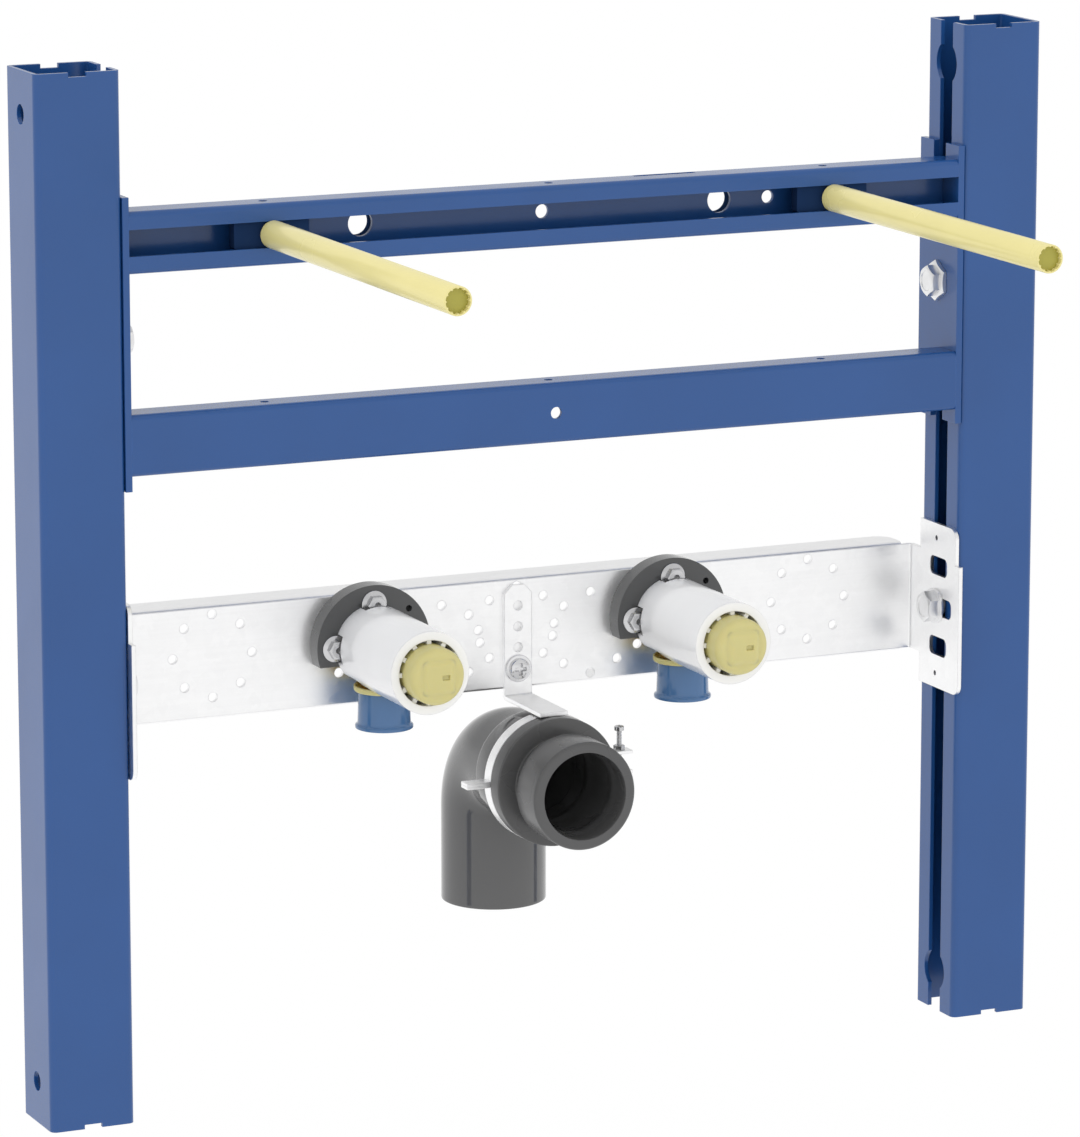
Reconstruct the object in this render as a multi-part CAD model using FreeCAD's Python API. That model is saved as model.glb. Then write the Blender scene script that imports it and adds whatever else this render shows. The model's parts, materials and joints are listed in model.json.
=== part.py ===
"""Installation frame for a wall-hung basin.

Two slotted posts carry two cross rails and a perforated plate. The plate holds two wall taps and,
on a strap, the clamp of a 50 mm waste bend. Two threaded rods in yellow sleeves take the basin.

Dimensions are in mm. The pieces are drawn with X = 0 in the middle, Y = 0 on the front of the
posts (+Y to the back) and Z = 0 at their lower end. They are written out with the origin in the
middle of the left post's outer face, where the frame is screwed to a stud.
"""
import math
import os

import FreeCAD
import Part

V = FreeCAD.Vector
AXIS_X = V(1, 0, 0)
AXIS_Y = V(0, 1, 0)
AXIS_Z = V(0, 0, 1)
SIDES = {"left": -1, "right": 1}

# Frame and posts
FRAME_WIDTH = 500.0
FRAME_HEIGHT = 480.0
SHEET = 2.0
POST_WIDTH = 40.0
POST_DEPTH = 38.0
POST_BEND = 3.0
POST_SLOT = 12.0
KEYHOLE_DIAMETER = 20.0
SIDE_HOLE_DIAMETER = 9.0
END_INSET = 19.5
NOTCH_WIDTH = 8.5
NOTCH_HEIGHT = 2.0
POST_INNER = FRAME_WIDTH / 2 - POST_WIDTH
POST_MID = POST_DEPTH / 2

# Rails
TOP_RAIL_Z = 403.0
LOWER_RAIL_Z = 312.0
RAIL_HEIGHT = 28.0
RAIL_DEPTH = 18.0
RAIL_BEND = 2.5
RAIL_SLOT = 12.0
WEB_HOLES = [(0.0, 6.5), (115.0, 6.0)]
BUSH_X = 90.0
BUSH_BORE = 12.0
BUSH_DIAMETER = 16.0
BUSH_LENGTH = 4.7
RAIL_CENTRE_HOLE = 5.5
TOP_FACE_HOLE = 4.0
TOP_FACE_HOLE_X = 140.0
TOP_FACE_SLOT_X = (45.0, 76.0)
TOP_FACE_SLOT_WIDTH = 3.0

# End plates between posts and rails
END_PLATE = 3.0
END_PLATE_OVERHANG = 6.5
END_PLATE_NOTCH = 9.0
END_PLATE_LOW = LOWER_RAIL_Z - RAIL_HEIGHT / 2 - END_PLATE_OVERHANG
END_PLATE_HIGH = TOP_RAIL_Z + RAIL_HEIGHT / 2 + END_PLATE_OVERHANG
END_BOLT_Z = (TOP_RAIL_Z + LOWER_RAIL_Z) / 2
RAIL_HALF = POST_INNER - END_PLATE
BOLT_DIAMETER = 8.0
BOLT_HOLE = 9.0
BOLT_REACH = 15.0
HEX_COLLAR_AF = 17.0
HEX_COLLAR = 4.5
HEX_HEAD_AF = 13.0
HEX_HEAD = 4.5
SLIDE_NUT = 6.0
SLIDE_NUT_DEPTH = 30.0
SLIDE_NUT_HEIGHT = 22.0

# Basin rods
ROD_PITCH = 280.0
ROD_SHIFT = 1.5
ROD_DIAMETER = 10.0
SLEEVE_DIAMETER = 12.8
SLEEVE_WALL = 0.8
SLEEVE_RIBS = 12
SLEEVE_RIB = 0.8
SLEEVE_END = 1.5
SLEEVE_END_RECESS = 1.5
SLEEVE_FRONT = -206.0
ROD_FRONT = SLEEVE_FRONT + SLEEVE_END_RECESS + SLEEVE_END
ANCHOR_LENGTH = 36.0
ANCHOR_HEIGHT = 21.0
ANCHOR_DEPTH = 6.0
ANCHOR_CHAMFER = 5.0

# Mounting plate
PLATE_Z = 200.0
PLATE_SETBACK = 7.0
PLATE_HEIGHT = 53.5
PLATE_FLANGE = 17.0
PLATE_FLANGE_CLEARANCE = 7.0
PLATE_FLANGE_CORNER = 8.0
PLATE_BEND = 3.0
NECK_HEIGHT = 51.0
EAR_HEIGHT = 80.0
EAR_REACH = 4.0
EAR_CLEARANCE = 3.0
EAR_STEP = 22.6
EAR_CORNER = 5.0
EAR_SLOT_Y = (8.0, 25.0)
EAR_SLOT_HEIGHT = 9.0
EAR_SLOT_PITCH = 19.5
EAR_BOLT_SLOT_Y = (3.5, 26.0)
EAR_PIN_HOLE = 2.5
EAR_PIN_PITCH = 33.0
PLATE_FRONT = POST_DEPTH + PLATE_SETBACK
PLATE_LOW = PLATE_Z - PLATE_HEIGHT / 2
PLATE_HIGH = PLATE_Z + PLATE_HEIGHT / 2
PLATE_FLANGE_HALF = POST_INNER - PLATE_FLANGE_CLEARANCE
EAR_LOW = PLATE_Z - EAR_HEIGHT / 2
EAR_HIGH = PLATE_Z + EAR_HEIGHT / 2
EAR_BACK = POST_DEPTH - EAR_CLEARANCE
EAR_FRONT = -EAR_REACH
WASHER_DIAMETER = 17.0
WASHER = 1.6
PLATE_BOLT_HEAD = 5.5
CIRCLE_PITCH = 76.25
CIRCLE_RADIUS = 19.5
CIRCLE_HOLE = 4.5
CIRCLE_RISE = 3.0
CIRCLES = ((-2.0, 1), (-1.0, 1), (-0.5, -1), (0.0, 1), (0.5, -1), (1.0, 1), (2.0, 1))

# Wall taps
TAP_X = CIRCLE_PITCH
TAP_Z = PLATE_Z + CIRCLE_RISE
DISC_DIAMETER = 56.4
DISC = 9.5
DISC_CHORD = 8.6
DISC_PIN_HOLE = 3.0
DISC_PIN_RADIUS = 23.6
DISC_PIN_TURN = 42.0
SCREW_SHANK = 4.0
SCREW_HEAD_DIAMETER = 12.5
SCREW_HEAD = 5.0
SCREW_FLANGE = 1.4
SCREW_HEX_AF = 8.0
TAP_SLEEVE_DIAMETER = 38.5
TAP_SLEEVE_BORE = 30.4
TAP_SLEEVE_LENGTH = 65.5
TAP_SLEEVE_FRONT = PLATE_FRONT - DISC - TAP_SLEEVE_LENGTH
TAP_RIBS = 12
TAP_RIB_WIDTH = 2.2
TAP_RIB_LENGTH = 18.0
BARREL_DIAMETER = 25.0
BARREL_LENGTH = 49.0
BARREL_FRONT = PLATE_FRONT - BARREL_LENGTH
BARREL_BORE = 15.0
PLUG_DIAMETER = 26.6
PLUG_REACH = 10.5
PLUG_FRONT = TAP_SLEEVE_FRONT - PLUG_REACH
PLUG_BOSS = 14.0
PLUG_BOSS_HEIGHT = 1.4
PLUG_NOTCH_X = 3.7
PLUG_NOTCH_WIDTH = 4.0
PLUG_NOTCH_HEIGHT = 2.4
INLET_SETBACK = 21.0
INLET_Y = PLATE_FRONT - INLET_SETBACK
INLET_NECK_DIAMETER = 16.0
INLET_DIAMETER = 21.0
INLET_BORE = 11.0
INLET_DROP = 34.3
INLET_LOW = TAP_Z - INLET_DROP
COLLAR_DIAMETER = 28.0
COLLAR_DROP = 18.8
COLLAR_HEIGHT = 2.6
COLLAR_RIM = 1.1
COLLAR_FLOOR = 1.0
COLLAR_LOW = TAP_Z - COLLAR_DROP
CAP_DIAMETER = 24.5
CAP_HEIGHT = 17.5
CAP_LOW = COLLAR_LOW - CAP_HEIGHT
CAP_END = 2.0
CAP_RIM_DIAMETER = 27.0
CAP_RIM = 2.5

# Waste bend, seal, clamp and strap
WASTE_DROP = 61.6
WASTE_Z = PLATE_Z - WASTE_DROP
PIPE_DIAMETER = 50.0
PIPE_WALL = 3.0
LEG_SETBACK = 27.0
LEG_Y = PLATE_FRONT + LEG_SETBACK
LEG_LENGTH = 72.4
LEG_LOW = WASTE_Z - LEG_LENGTH
ELBOW_INSIDE = 2.0
ELBOW_RADIUS = PIPE_DIAMETER / 2 + ELBOW_INSIDE
ELBOW_Y = LEG_Y - ELBOW_RADIUS
ELBOW_Z = WASTE_Z - ELBOW_RADIUS
SOCKET_DIAMETER = 57.0
SOCKET_FRONT = 6.5
SOCKET_BACK = 28.0
SOCKET_TAPER = 5.0
SEAL_DIAMETER = 51.0
SEAL_ROOT_DIAMETER = 43.0
SEAL_BORE = 39.2
SEAL_LENGTH = 56.0
SEAL_NOSE = 30.3
SEAL_CHAMFER = 1.0
SEAL_RING_DIAMETER = 60.8
SEAL_RING = 8.5
SEAL_RING_FRONT = SOCKET_FRONT - SEAL_RING
SEAL_FRONT = SEAL_RING_FRONT - SEAL_NOSE
SEAL_BACK = SEAL_FRONT + SEAL_LENGTH
CLAMP_WIDTH = 7.0
CLAMP_Y = (SOCKET_FRONT, SOCKET_FRONT + CLAMP_WIDTH)
CLAMP_SHEET = 2.0
CLAMP_OPEN = 8.0
CLAMP_EAR = 11.7
CLAMP_EAR_SHEET = 1.4
CLAMP_EAR_HALF = SOCKET_DIAMETER / 2 + CLAMP_SHEET + CLAMP_EAR
CLAMP_SCREW_INSET = 5.4
CLAMP_SCREW_X = CLAMP_EAR_HALF - CLAMP_SCREW_INSET
CLAMP_SCREW_DIAMETER = 2.6
CLAMP_SCREW_HEAD_DIAMETER = 4.6
CLAMP_SCREW_HEAD = 2.6
CLAMP_NUT_DIAMETER = 5.4
CLAMP_NUT = 2.4
CLAMP_SCREW_UP = 21.3
CLAMP_SCREW_DOWN = 8.5
STRAP_WIDTH = 14.0
STRAP = 2.0
STRAP_RISE = 23.5
STRAP_TOP = PLATE_Z + STRAP_RISE
STRAP_FRONT = 2.4
STRAP_POINT = 4.0
STRAP_BEND = 3.0
STRAP_HOLE_PITCH = 10.0
STRAP_BOLT_HEAD_DIAMETER = 13.0
STRAP_BOLT_HEAD = 3.5


def block(x, y, z):
    """Box between the limits given for each axis, in either order."""
    low = V(min(x), min(y), min(z))
    size = V(max(x), max(y), max(z)) - low
    return Part.makeBox(size.x, size.y, size.z, low)


def disc_bar(start, axis, length, diameter):
    """Round bar from a start point along an axis."""
    return Part.makeCylinder(diameter / 2, length, start, axis)


def hex_bar(start, axis, length, across_flats):
    """Hexagonal bar from a start point along X or Y, with a flat facing up."""
    radius = across_flats / math.sqrt(3)
    up = AXIS_Z
    side = axis.cross(up)
    turns = [math.radians(60 * i) for i in range(7)]
    points = [start + side * (radius * math.cos(a)) + up * (radius * math.sin(a)) for a in turns]
    return Part.Face(Part.makePolygon(points)).extrude(axis * length)


def edges_along(shape, axis, keep=None):
    """Straight edges parallel to an axis, those whose middle passes a test if one is given."""
    found = []
    for edge in shape.Edges:
        ends = [v.Point for v in edge.Vertexes]
        if len(ends) != 2 or not isinstance(edge.Curve, Part.Line):
            continue
        run = ends[1] - ends[0]
        if abs(run.dot(axis)) < 0.999 * run.Length:
            continue
        if keep is None or keep((ends[0] + ends[1]) * 0.5):
            found.append(edge)
    return found


def rounded(shape, axis, radius, keep=None):
    """Shape with its edges along an axis rounded."""
    return shape.makeFillet(radius, edges_along(shape, axis, keep))


def one_solid(shape):
    """The single solid of a boolean result, with seams between like faces removed."""
    return shape.removeSplitter().Solids[0]


def carve(shape, cutters):
    """Shape less a list of cutters."""
    return one_solid(shape.cut(cutters))


def join(shapes):
    """Shapes fused into one solid."""
    return one_solid(shapes[0].fuse(shapes[1:]))


def bent_tube(x, y, z, axis, bend):
    """Rectangular tube of sheet along an axis, with bent corners and open ends."""
    limits = []
    for pair, along in ((x, AXIS_X), (y, AXIS_Y), (z, AXIS_Z)):
        inset = -5.0 if along == axis else SHEET
        limits.append((min(pair) + inset, max(pair) - inset))
    outer = rounded(block(x, y, z), axis, bend)
    inner = rounded(block(*limits), axis, bend - SHEET)
    return outer.cut(inner)


def flat_slot(x, y, z_mid, height, corner):
    """Cutter along X for a slot with rounded corners."""
    body = block(x, y, (z_mid - height / 2, z_mid + height / 2))
    return rounded(body, AXIS_X, corner)


def post(side):
    """C-section post: web outside, slotted lips facing the middle, keyholes near both ends."""
    inner = side * POST_INNER
    outer = side * FRAME_WIDTH / 2
    middle = (inner + outer) / 2
    through = AXIS_X * side
    tube = bent_tube((inner, outer), (0, POST_DEPTH), (0, FRAME_HEIGHT), AXIS_Z, POST_BEND)
    slot_y = (POST_MID - POST_SLOT / 2, POST_MID + POST_SLOT / 2)
    lip_x = (inner - side, inner + side * (SHEET + 1))
    cutters = [block(lip_x, slot_y, (-1, FRAME_HEIGHT + 1))]
    for z in (END_INSET, FRAME_HEIGHT - END_INSET):
        keyhole = V(inner - side, POST_MID, z)
        cutters.append(disc_bar(keyhole, through, SHEET + 2, KEYHOLE_DIAMETER))
        web_hole = V(outer - side * (SHEET + 1), POST_MID, z)
        cutters.append(disc_bar(web_hole, through, SHEET + 2, SIDE_HOLE_DIAMETER))
    notch_x = (middle - NOTCH_WIDTH / 2, middle + NOTCH_WIDTH / 2)
    for z in ((-1, NOTCH_HEIGHT), (FRAME_HEIGHT - NOTCH_HEIGHT, FRAME_HEIGHT + 1)):
        cutters.append(block(notch_x, (-1, POST_DEPTH + 1), z))
    return carve(tube, cutters)


def rail_tube(z_mid):
    """Closed rail before its slot and holes are cut."""
    z = (z_mid - RAIL_HEIGHT / 2, z_mid + RAIL_HEIGHT / 2)
    return bent_tube((-RAIL_HALF, RAIL_HALF), (0, RAIL_DEPTH), z, AXIS_X, RAIL_BEND)


def rail_slot(z_mid, y):
    """Cutter for the long slot of a rail, through the wall between two depths."""
    z = (z_mid - RAIL_SLOT / 2, z_mid + RAIL_SLOT / 2)
    return block((-RAIL_HALF - 1, RAIL_HALF + 1), y, z)


def top_face_holes(z_mid, y):
    """Cutters for the three small holes in the top wall of a rail."""
    z = z_mid + RAIL_HEIGHT / 2 - SHEET - 1
    places = (-TOP_FACE_HOLE_X, 0.0, TOP_FACE_HOLE_X)
    return [disc_bar(V(x, y, z), AXIS_Z, SHEET + 2, TOP_FACE_HOLE) for x in places]


def top_rail():
    """C-rail open to the front, with holes in its web and top wall."""
    cutters = [rail_slot(TOP_RAIL_Z, (-1, SHEET + 1))]
    bush_holes = [(side * BUSH_X, BUSH_BORE) for side in SIDES.values()]
    for x, diameter in WEB_HOLES + bush_holes:
        start = V(x, RAIL_DEPTH - SHEET - 1, TOP_RAIL_Z)
        cutters.append(disc_bar(start, AXIS_Y, SHEET + 2, diameter))
    cutters.extend(top_face_holes(TOP_RAIL_Z, RAIL_DEPTH / 2))
    slot_y = (RAIL_DEPTH - 3 - TOP_FACE_SLOT_WIDTH, RAIL_DEPTH - 3)
    top = TOP_RAIL_Z + RAIL_HEIGHT / 2
    cutters.append(block(TOP_FACE_SLOT_X, slot_y, (top - SHEET - 1, top + 1)))
    return carve(rail_tube(TOP_RAIL_Z), cutters)


def rail_bush(side):
    """Round weld nut behind a large hole of the top rail's web."""
    start = V(side * BUSH_X, RAIL_DEPTH, TOP_RAIL_Z)
    body = disc_bar(start, AXIS_Y, BUSH_LENGTH, BUSH_DIAMETER)
    return carve(body, [disc_bar(start - AXIS_Y, AXIS_Y, BUSH_LENGTH + 2, BUSH_BORE)])


def lower_rail():
    """The same rail turned round: closed front with one hole, open to the back."""
    cutters = [rail_slot(LOWER_RAIL_Z, (RAIL_DEPTH - SHEET - 1, RAIL_DEPTH + 1))]
    cutters.append(disc_bar(V(0, -1, LOWER_RAIL_Z), AXIS_Y, SHEET + 2, RAIL_CENTRE_HOLE))
    cutters.extend(top_face_holes(LOWER_RAIL_Z, RAIL_DEPTH / 2))
    return carve(rail_tube(LOWER_RAIL_Z), cutters)


def end_plate(side):
    """Plate welded to the rail ends and bolted to the post, notched at both ends over the slot."""
    x = (side * RAIL_HALF, side * POST_INNER)
    plate = block(x, (0, POST_DEPTH), (END_PLATE_LOW, END_PLATE_HIGH))
    cut_x = (side * (RAIL_HALF - 1), side * (POST_INNER + 1))
    notch_y = (POST_MID - POST_SLOT / 2, POST_MID + POST_SLOT / 2)
    cutters = [
        block(cut_x, notch_y, (END_PLATE_LOW - 1, END_PLATE_LOW + END_PLATE_NOTCH)),
        block(cut_x, notch_y, (END_PLATE_HIGH - END_PLATE_NOTCH, END_PLATE_HIGH + 1)),
    ]
    hole = V(cut_x[0], POST_MID, END_BOLT_Z)
    cutters.append(disc_bar(hole, AXIS_X * side, END_PLATE + 2, BOLT_HOLE))
    return carve(plate, cutters)


def end_bolt(side):
    """Hex bolt with a wider hex collar, from the end plate into the slide nut."""
    face = V(side * RAIL_HALF, POST_MID, END_BOLT_Z)
    inward = AXIS_X * -side
    collar = hex_bar(face, inward, HEX_COLLAR, HEX_COLLAR_AF)
    head = hex_bar(face + inward * HEX_COLLAR, inward, HEX_HEAD, HEX_HEAD_AF)
    shank = disc_bar(face, -inward, BOLT_REACH, BOLT_DIAMETER)
    return join([collar, head, shank])


def slide_nut(side, z):
    """Nut block behind the lips of a post."""
    lip = side * (POST_INNER + SHEET)
    x = (lip, lip + side * SLIDE_NUT)
    y = (POST_MID - SLIDE_NUT_DEPTH / 2, POST_MID + SLIDE_NUT_DEPTH / 2)
    body = block(x, y, (z - SLIDE_NUT_HEIGHT / 2, z + SLIDE_NUT_HEIGHT / 2))
    hole = disc_bar(V(lip - side, POST_MID, z), AXIS_X * side, SLIDE_NUT + 2, BOLT_DIAMETER)
    return carve(body, [hole])


def rod_x(side):
    """Place of a basin rod along the top rail, in which it slides."""
    return side * ROD_PITCH / 2 + ROD_SHIFT


def rod(side):
    """Threaded rod from the rail's anchor to inside its sleeve."""
    back = RAIL_DEPTH - SHEET - 2
    tip = V(rod_x(side), ROD_FRONT, TOP_RAIL_Z)
    return disc_bar(tip, AXIS_Y, back - ROD_FRONT, ROD_DIAMETER)


def rod_sleeve(side):
    """Thin protective sleeve whose inner ribs grip the rod, with its end wall just inside the tip."""
    start = V(rod_x(side), SLEEVE_FRONT, TOP_RAIL_Z)
    bore = SLEEVE_DIAMETER - 2 * SLEEVE_WALL
    shell = disc_bar(start, AXIS_Y, -SLEEVE_FRONT, SLEEVE_DIAMETER)
    shell = shell.cut(disc_bar(start - AXIS_Y, AXIS_Y, 2 - SLEEVE_FRONT, bore))
    wide = (start.x - SLEEVE_RIB / 2, start.x + SLEEVE_RIB / 2)
    tall = (TOP_RAIL_Z + ROD_DIAMETER / 2 - 1, TOP_RAIL_Z + (bore + SLEEVE_WALL) / 2)
    ribs = []
    for turn in range(SLEEVE_RIBS):
        rib = block(wide, (SLEEVE_FRONT, 0), tall)
        rib.rotate(start, AXIS_Y, turn * 360 / SLEEVE_RIBS)
        ribs.append(rib)
    rod_space = disc_bar(start - AXIS_Y, AXIS_Y, 2 - SLEEVE_FRONT, ROD_DIAMETER)
    end = disc_bar(start + AXIS_Y * SLEEVE_END_RECESS, AXIS_Y, SLEEVE_END, bore + SLEEVE_WALL)
    return join([carve(join([shell] + ribs), [rod_space]), end])


def rod_anchor(side):
    """Slide nut of a rod behind the lips of the top rail, with chamfered corners."""
    middle = rod_x(side)
    x = (middle - ANCHOR_LENGTH / 2, middle + ANCHOR_LENGTH / 2)
    z = (TOP_RAIL_Z - ANCHOR_HEIGHT / 2, TOP_RAIL_Z + ANCHOR_HEIGHT / 2)
    body = block(x, (SHEET, SHEET + ANCHOR_DEPTH), z)
    body = body.makeChamfer(ANCHOR_CHAMFER, edges_along(body, AXIS_Y))
    hole = disc_bar(V(middle, 0, TOP_RAIL_Z), AXIS_Y, RAIL_DEPTH, ROD_DIAMETER)
    return carve(body, [hole])


def plate_channel():
    """Web of the mounting plate with its top and bottom flanges folded to the back."""
    x = (-PLATE_FLANGE_HALF, PLATE_FLANGE_HALF)
    y = (PLATE_FRONT, PLATE_FRONT + PLATE_FLANGE)
    outer = block(x, y, (PLATE_LOW, PLATE_HIGH))
    outer = rounded(outer, AXIS_X, PLATE_BEND, lambda p: p.y < PLATE_FRONT + 1)
    outer = rounded(outer, AXIS_Z, PLATE_FLANGE_CORNER, lambda p: p.y > PLATE_FRONT + 10)
    inner_y = (PLATE_FRONT + SHEET, PLATE_FRONT + PLATE_FLANGE + 5)
    inner = block((x[0] - 5, x[1] + 5), inner_y, (PLATE_LOW + SHEET, PLATE_HIGH - SHEET))
    inner = rounded(inner, AXIS_X, PLATE_BEND - SHEET, lambda p: p.y < PLATE_FRONT + 3)
    return outer.cut(inner)


def plate_ears():
    """Strip with both ends bent forward into the ears that lie on the posts."""
    back = PLATE_FRONT + SHEET
    height = (EAR_LOW - 5, EAR_HIGH + 5)
    outer = block((-POST_INNER, POST_INNER), (EAR_FRONT, back), height)
    outer = rounded(outer, AXIS_Z, PLATE_BEND, lambda p: p.y > back - 1)
    inner_x = POST_INNER - SHEET
    inner = block((-inner_x, inner_x), (EAR_FRONT - 5, PLATE_FRONT), (EAR_LOW - 10, EAR_HIGH + 10))
    inner = rounded(inner, AXIS_Z, PLATE_BEND - SHEET, lambda p: p.y > PLATE_FRONT - 1)
    strip = outer.cut(inner)
    wide = (-FRAME_WIDTH / 2, FRAME_WIDTH / 2)
    neck = block(wide, (EAR_BACK - 5, back + 5), (PLATE_Z - NECK_HEIGHT / 2, PLATE_Z + NECK_HEIGHT / 2))
    front = block(wide, (EAR_FRONT, EAR_BACK), (EAR_LOW, PLATE_Z + EAR_STEP))
    front = rounded(front, AXIS_X, EAR_CORNER, lambda p: p.y < 0 and p.z < EAR_LOW + 1)
    upper = block(wide, (0, EAR_BACK), (EAR_LOW + 10, EAR_HIGH))
    upper = rounded(upper, AXIS_X, EAR_CORNER, lambda p: p.y < 1 and p.z > EAR_HIGH - 1)
    return strip.common(join([neck, front, upper]))


def mounting_plate():
    """Folded plate with hole circles for the taps and slotted ears for the post bolts."""
    cutters = []
    for pitches, rise in CIRCLES:
        for turn in range(8):
            angle = math.radians(45 * turn)
            hole_x = pitches * CIRCLE_PITCH + CIRCLE_RADIUS * math.cos(angle)
            hole_z = PLATE_Z + rise * CIRCLE_RISE + CIRCLE_RADIUS * math.sin(angle)
            hole = V(hole_x, PLATE_FRONT - 1, hole_z)
            cutters.append(disc_bar(hole, AXIS_Y, SHEET + 2, CIRCLE_HOLE))
    for side in SIDES.values():
        x = (side * (POST_INNER - SHEET - 1), side * (POST_INNER + 1))
        for z in (PLATE_Z - EAR_SLOT_PITCH, PLATE_Z + EAR_SLOT_PITCH):
            cutters.append(flat_slot(x, EAR_SLOT_Y, z, EAR_SLOT_HEIGHT, EAR_SLOT_HEIGHT / 3))
        cutters.append(flat_slot(x, EAR_BOLT_SLOT_Y, PLATE_Z, BOLT_HOLE, BOLT_HOLE / 3))
        for z in (PLATE_Z - EAR_PIN_PITCH, PLATE_Z + EAR_PIN_PITCH):
            pin = V(x[0], POST_MID, z)
            cutters.append(disc_bar(pin, AXIS_X * side, SHEET + 2, EAR_PIN_HOLE))
    return carve(plate_channel().fuse(plate_ears()), cutters)


def plate_bolt(side):
    """Hex bolt with washer face, from an ear of the plate into the slide nut."""
    face = V(side * (POST_INNER - SHEET), POST_MID, PLATE_Z)
    inward = AXIS_X * -side
    washer = disc_bar(face, inward, WASHER, WASHER_DIAMETER)
    head = hex_bar(face + inward * WASHER, inward, PLATE_BOLT_HEAD, HEX_HEAD_AF)
    shank = disc_bar(face, -inward, BOLT_REACH, BOLT_DIAMETER)
    return join([washer, head, shank])


def screw_places(side):
    """Centres of the three screws of a tap on the plate's hole circle."""
    places = {"outer": 180 if side < 0 else 0, "top": 90, "inner": 0 if side < 0 else 180}
    centres = {}
    for name, turn in places.items():
        angle = math.radians(turn)
        x = side * TAP_X + CIRCLE_RADIUS * math.cos(angle)
        centres[name] = V(x, PLATE_FRONT - DISC, TAP_Z + CIRCLE_RADIUS * math.sin(angle))
    return centres


def tap_disc(side):
    """Sound-damping disc on the plate, cut off flat below the tap."""
    front = PLATE_FRONT - DISC
    centre = V(side * TAP_X, front, TAP_Z)
    body = disc_bar(centre, AXIS_Y, DISC, DISC_DIAMETER)
    cutters = [disc_bar(centre - AXIS_Y, AXIS_Y, DISC + 2, BARREL_DIAMETER)]
    wide = (side * TAP_X - DISC_DIAMETER, side * TAP_X + DISC_DIAMETER)
    low = (TAP_Z - DISC_DIAMETER, TAP_Z - DISC_CHORD)
    cutters.append(block(wide, (front - 1, PLATE_FRONT + 1), low))
    for place in screw_places(side).values():
        cutters.append(disc_bar(place - AXIS_Y, AXIS_Y, DISC + 2, SCREW_SHANK))
    turn = math.radians(DISC_PIN_TURN)
    pin = centre + V(DISC_PIN_RADIUS * math.cos(turn), -1, DISC_PIN_RADIUS * math.sin(turn))
    cutters.append(disc_bar(pin, AXIS_Y, DISC + 2, DISC_PIN_HOLE))
    return carve(body, cutters)


def tap_screw(place):
    """Hex screw with a round flange, through the disc and the plate."""
    flange = disc_bar(place, -AXIS_Y, SCREW_FLANGE, SCREW_HEAD_DIAMETER)
    head = hex_bar(place, -AXIS_Y, SCREW_HEAD, SCREW_HEX_AF)
    shank = disc_bar(place, AXIS_Y, DISC + SHEET + 4, SCREW_SHANK)
    return join([flange, head, shank])


def tap_sleeve(side):
    """White sleeve round the tap, ribbed inside, cut away round the screws and the inlet."""
    base = PLATE_FRONT - DISC
    length = base - TAP_SLEEVE_FRONT
    front = V(side * TAP_X, TAP_SLEEVE_FRONT, TAP_Z)
    body = disc_bar(front, AXIS_Y, length, TAP_SLEEVE_DIAMETER)
    body = body.cut(disc_bar(front - AXIS_Y, AXIS_Y, length + 2, TAP_SLEEVE_BORE))
    ribs = []
    for turn in range(TAP_RIBS):
        wide = (side * TAP_X - TAP_RIB_WIDTH / 2, side * TAP_X + TAP_RIB_WIDTH / 2)
        deep = (TAP_SLEEVE_FRONT + 1, TAP_SLEEVE_FRONT + 1 + TAP_RIB_LENGTH)
        rib = block(wide, deep, (TAP_Z + PLUG_DIAMETER / 2 - 1, TAP_Z + TAP_SLEEVE_BORE / 2 + 1))
        rib.rotate(front, AXIS_Y, turn * 360 / TAP_RIBS)
        ribs.append(rib)
    body = join([body] + ribs)
    cutters = [disc_bar(front - AXIS_Y, AXIS_Y, length + 2, PLUG_DIAMETER)]
    for place in screw_places(side).values():
        cutters.append(disc_bar(place + AXIS_Y, -AXIS_Y, SCREW_HEAD + 2, SCREW_HEAD_DIAMETER + 1))
    under = V(side * TAP_X, INLET_Y, TAP_Z - TAP_SLEEVE_DIAMETER)
    cutters.append(disc_bar(under, AXIS_Z, TAP_SLEEVE_DIAMETER, COLLAR_DIAMETER + 1))
    gap = (side * TAP_X - COLLAR_DIAMETER / 2 - 0.5, side * TAP_X + COLLAR_DIAMETER / 2 + 0.5)
    cutters.append(block(gap, (INLET_Y, base + 1), (TAP_Z - TAP_SLEEVE_DIAMETER, TAP_Z)))
    return carve(body, cutters)


def tap_body(side):
    """Brass body: level barrel from the plate and an inlet turned down."""
    x = side * TAP_X
    barrel_start = V(x, BARREL_FRONT, TAP_Z)
    barrel = disc_bar(barrel_start, AXIS_Y, PLATE_FRONT - BARREL_FRONT, BARREL_DIAMETER)
    neck = disc_bar(V(x, INLET_Y, INLET_LOW), AXIS_Z, TAP_Z - INLET_LOW, INLET_NECK_DIAMETER)
    inlet_height = COLLAR_LOW + COLLAR_HEIGHT + 2 - INLET_LOW
    inlet = disc_bar(V(x, INLET_Y, INLET_LOW), AXIS_Z, inlet_height, INLET_DIAMETER)
    waterway = [
        disc_bar(barrel_start - AXIS_Y, AXIS_Y, INLET_Y + 7 - BARREL_FRONT, BARREL_BORE),
        disc_bar(V(x, INLET_Y, INLET_LOW - 1), AXIS_Z, TAP_Z - INLET_LOW + 1, INLET_BORE),
    ]
    return carve(join([barrel, neck, inlet]), waterway)


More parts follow.
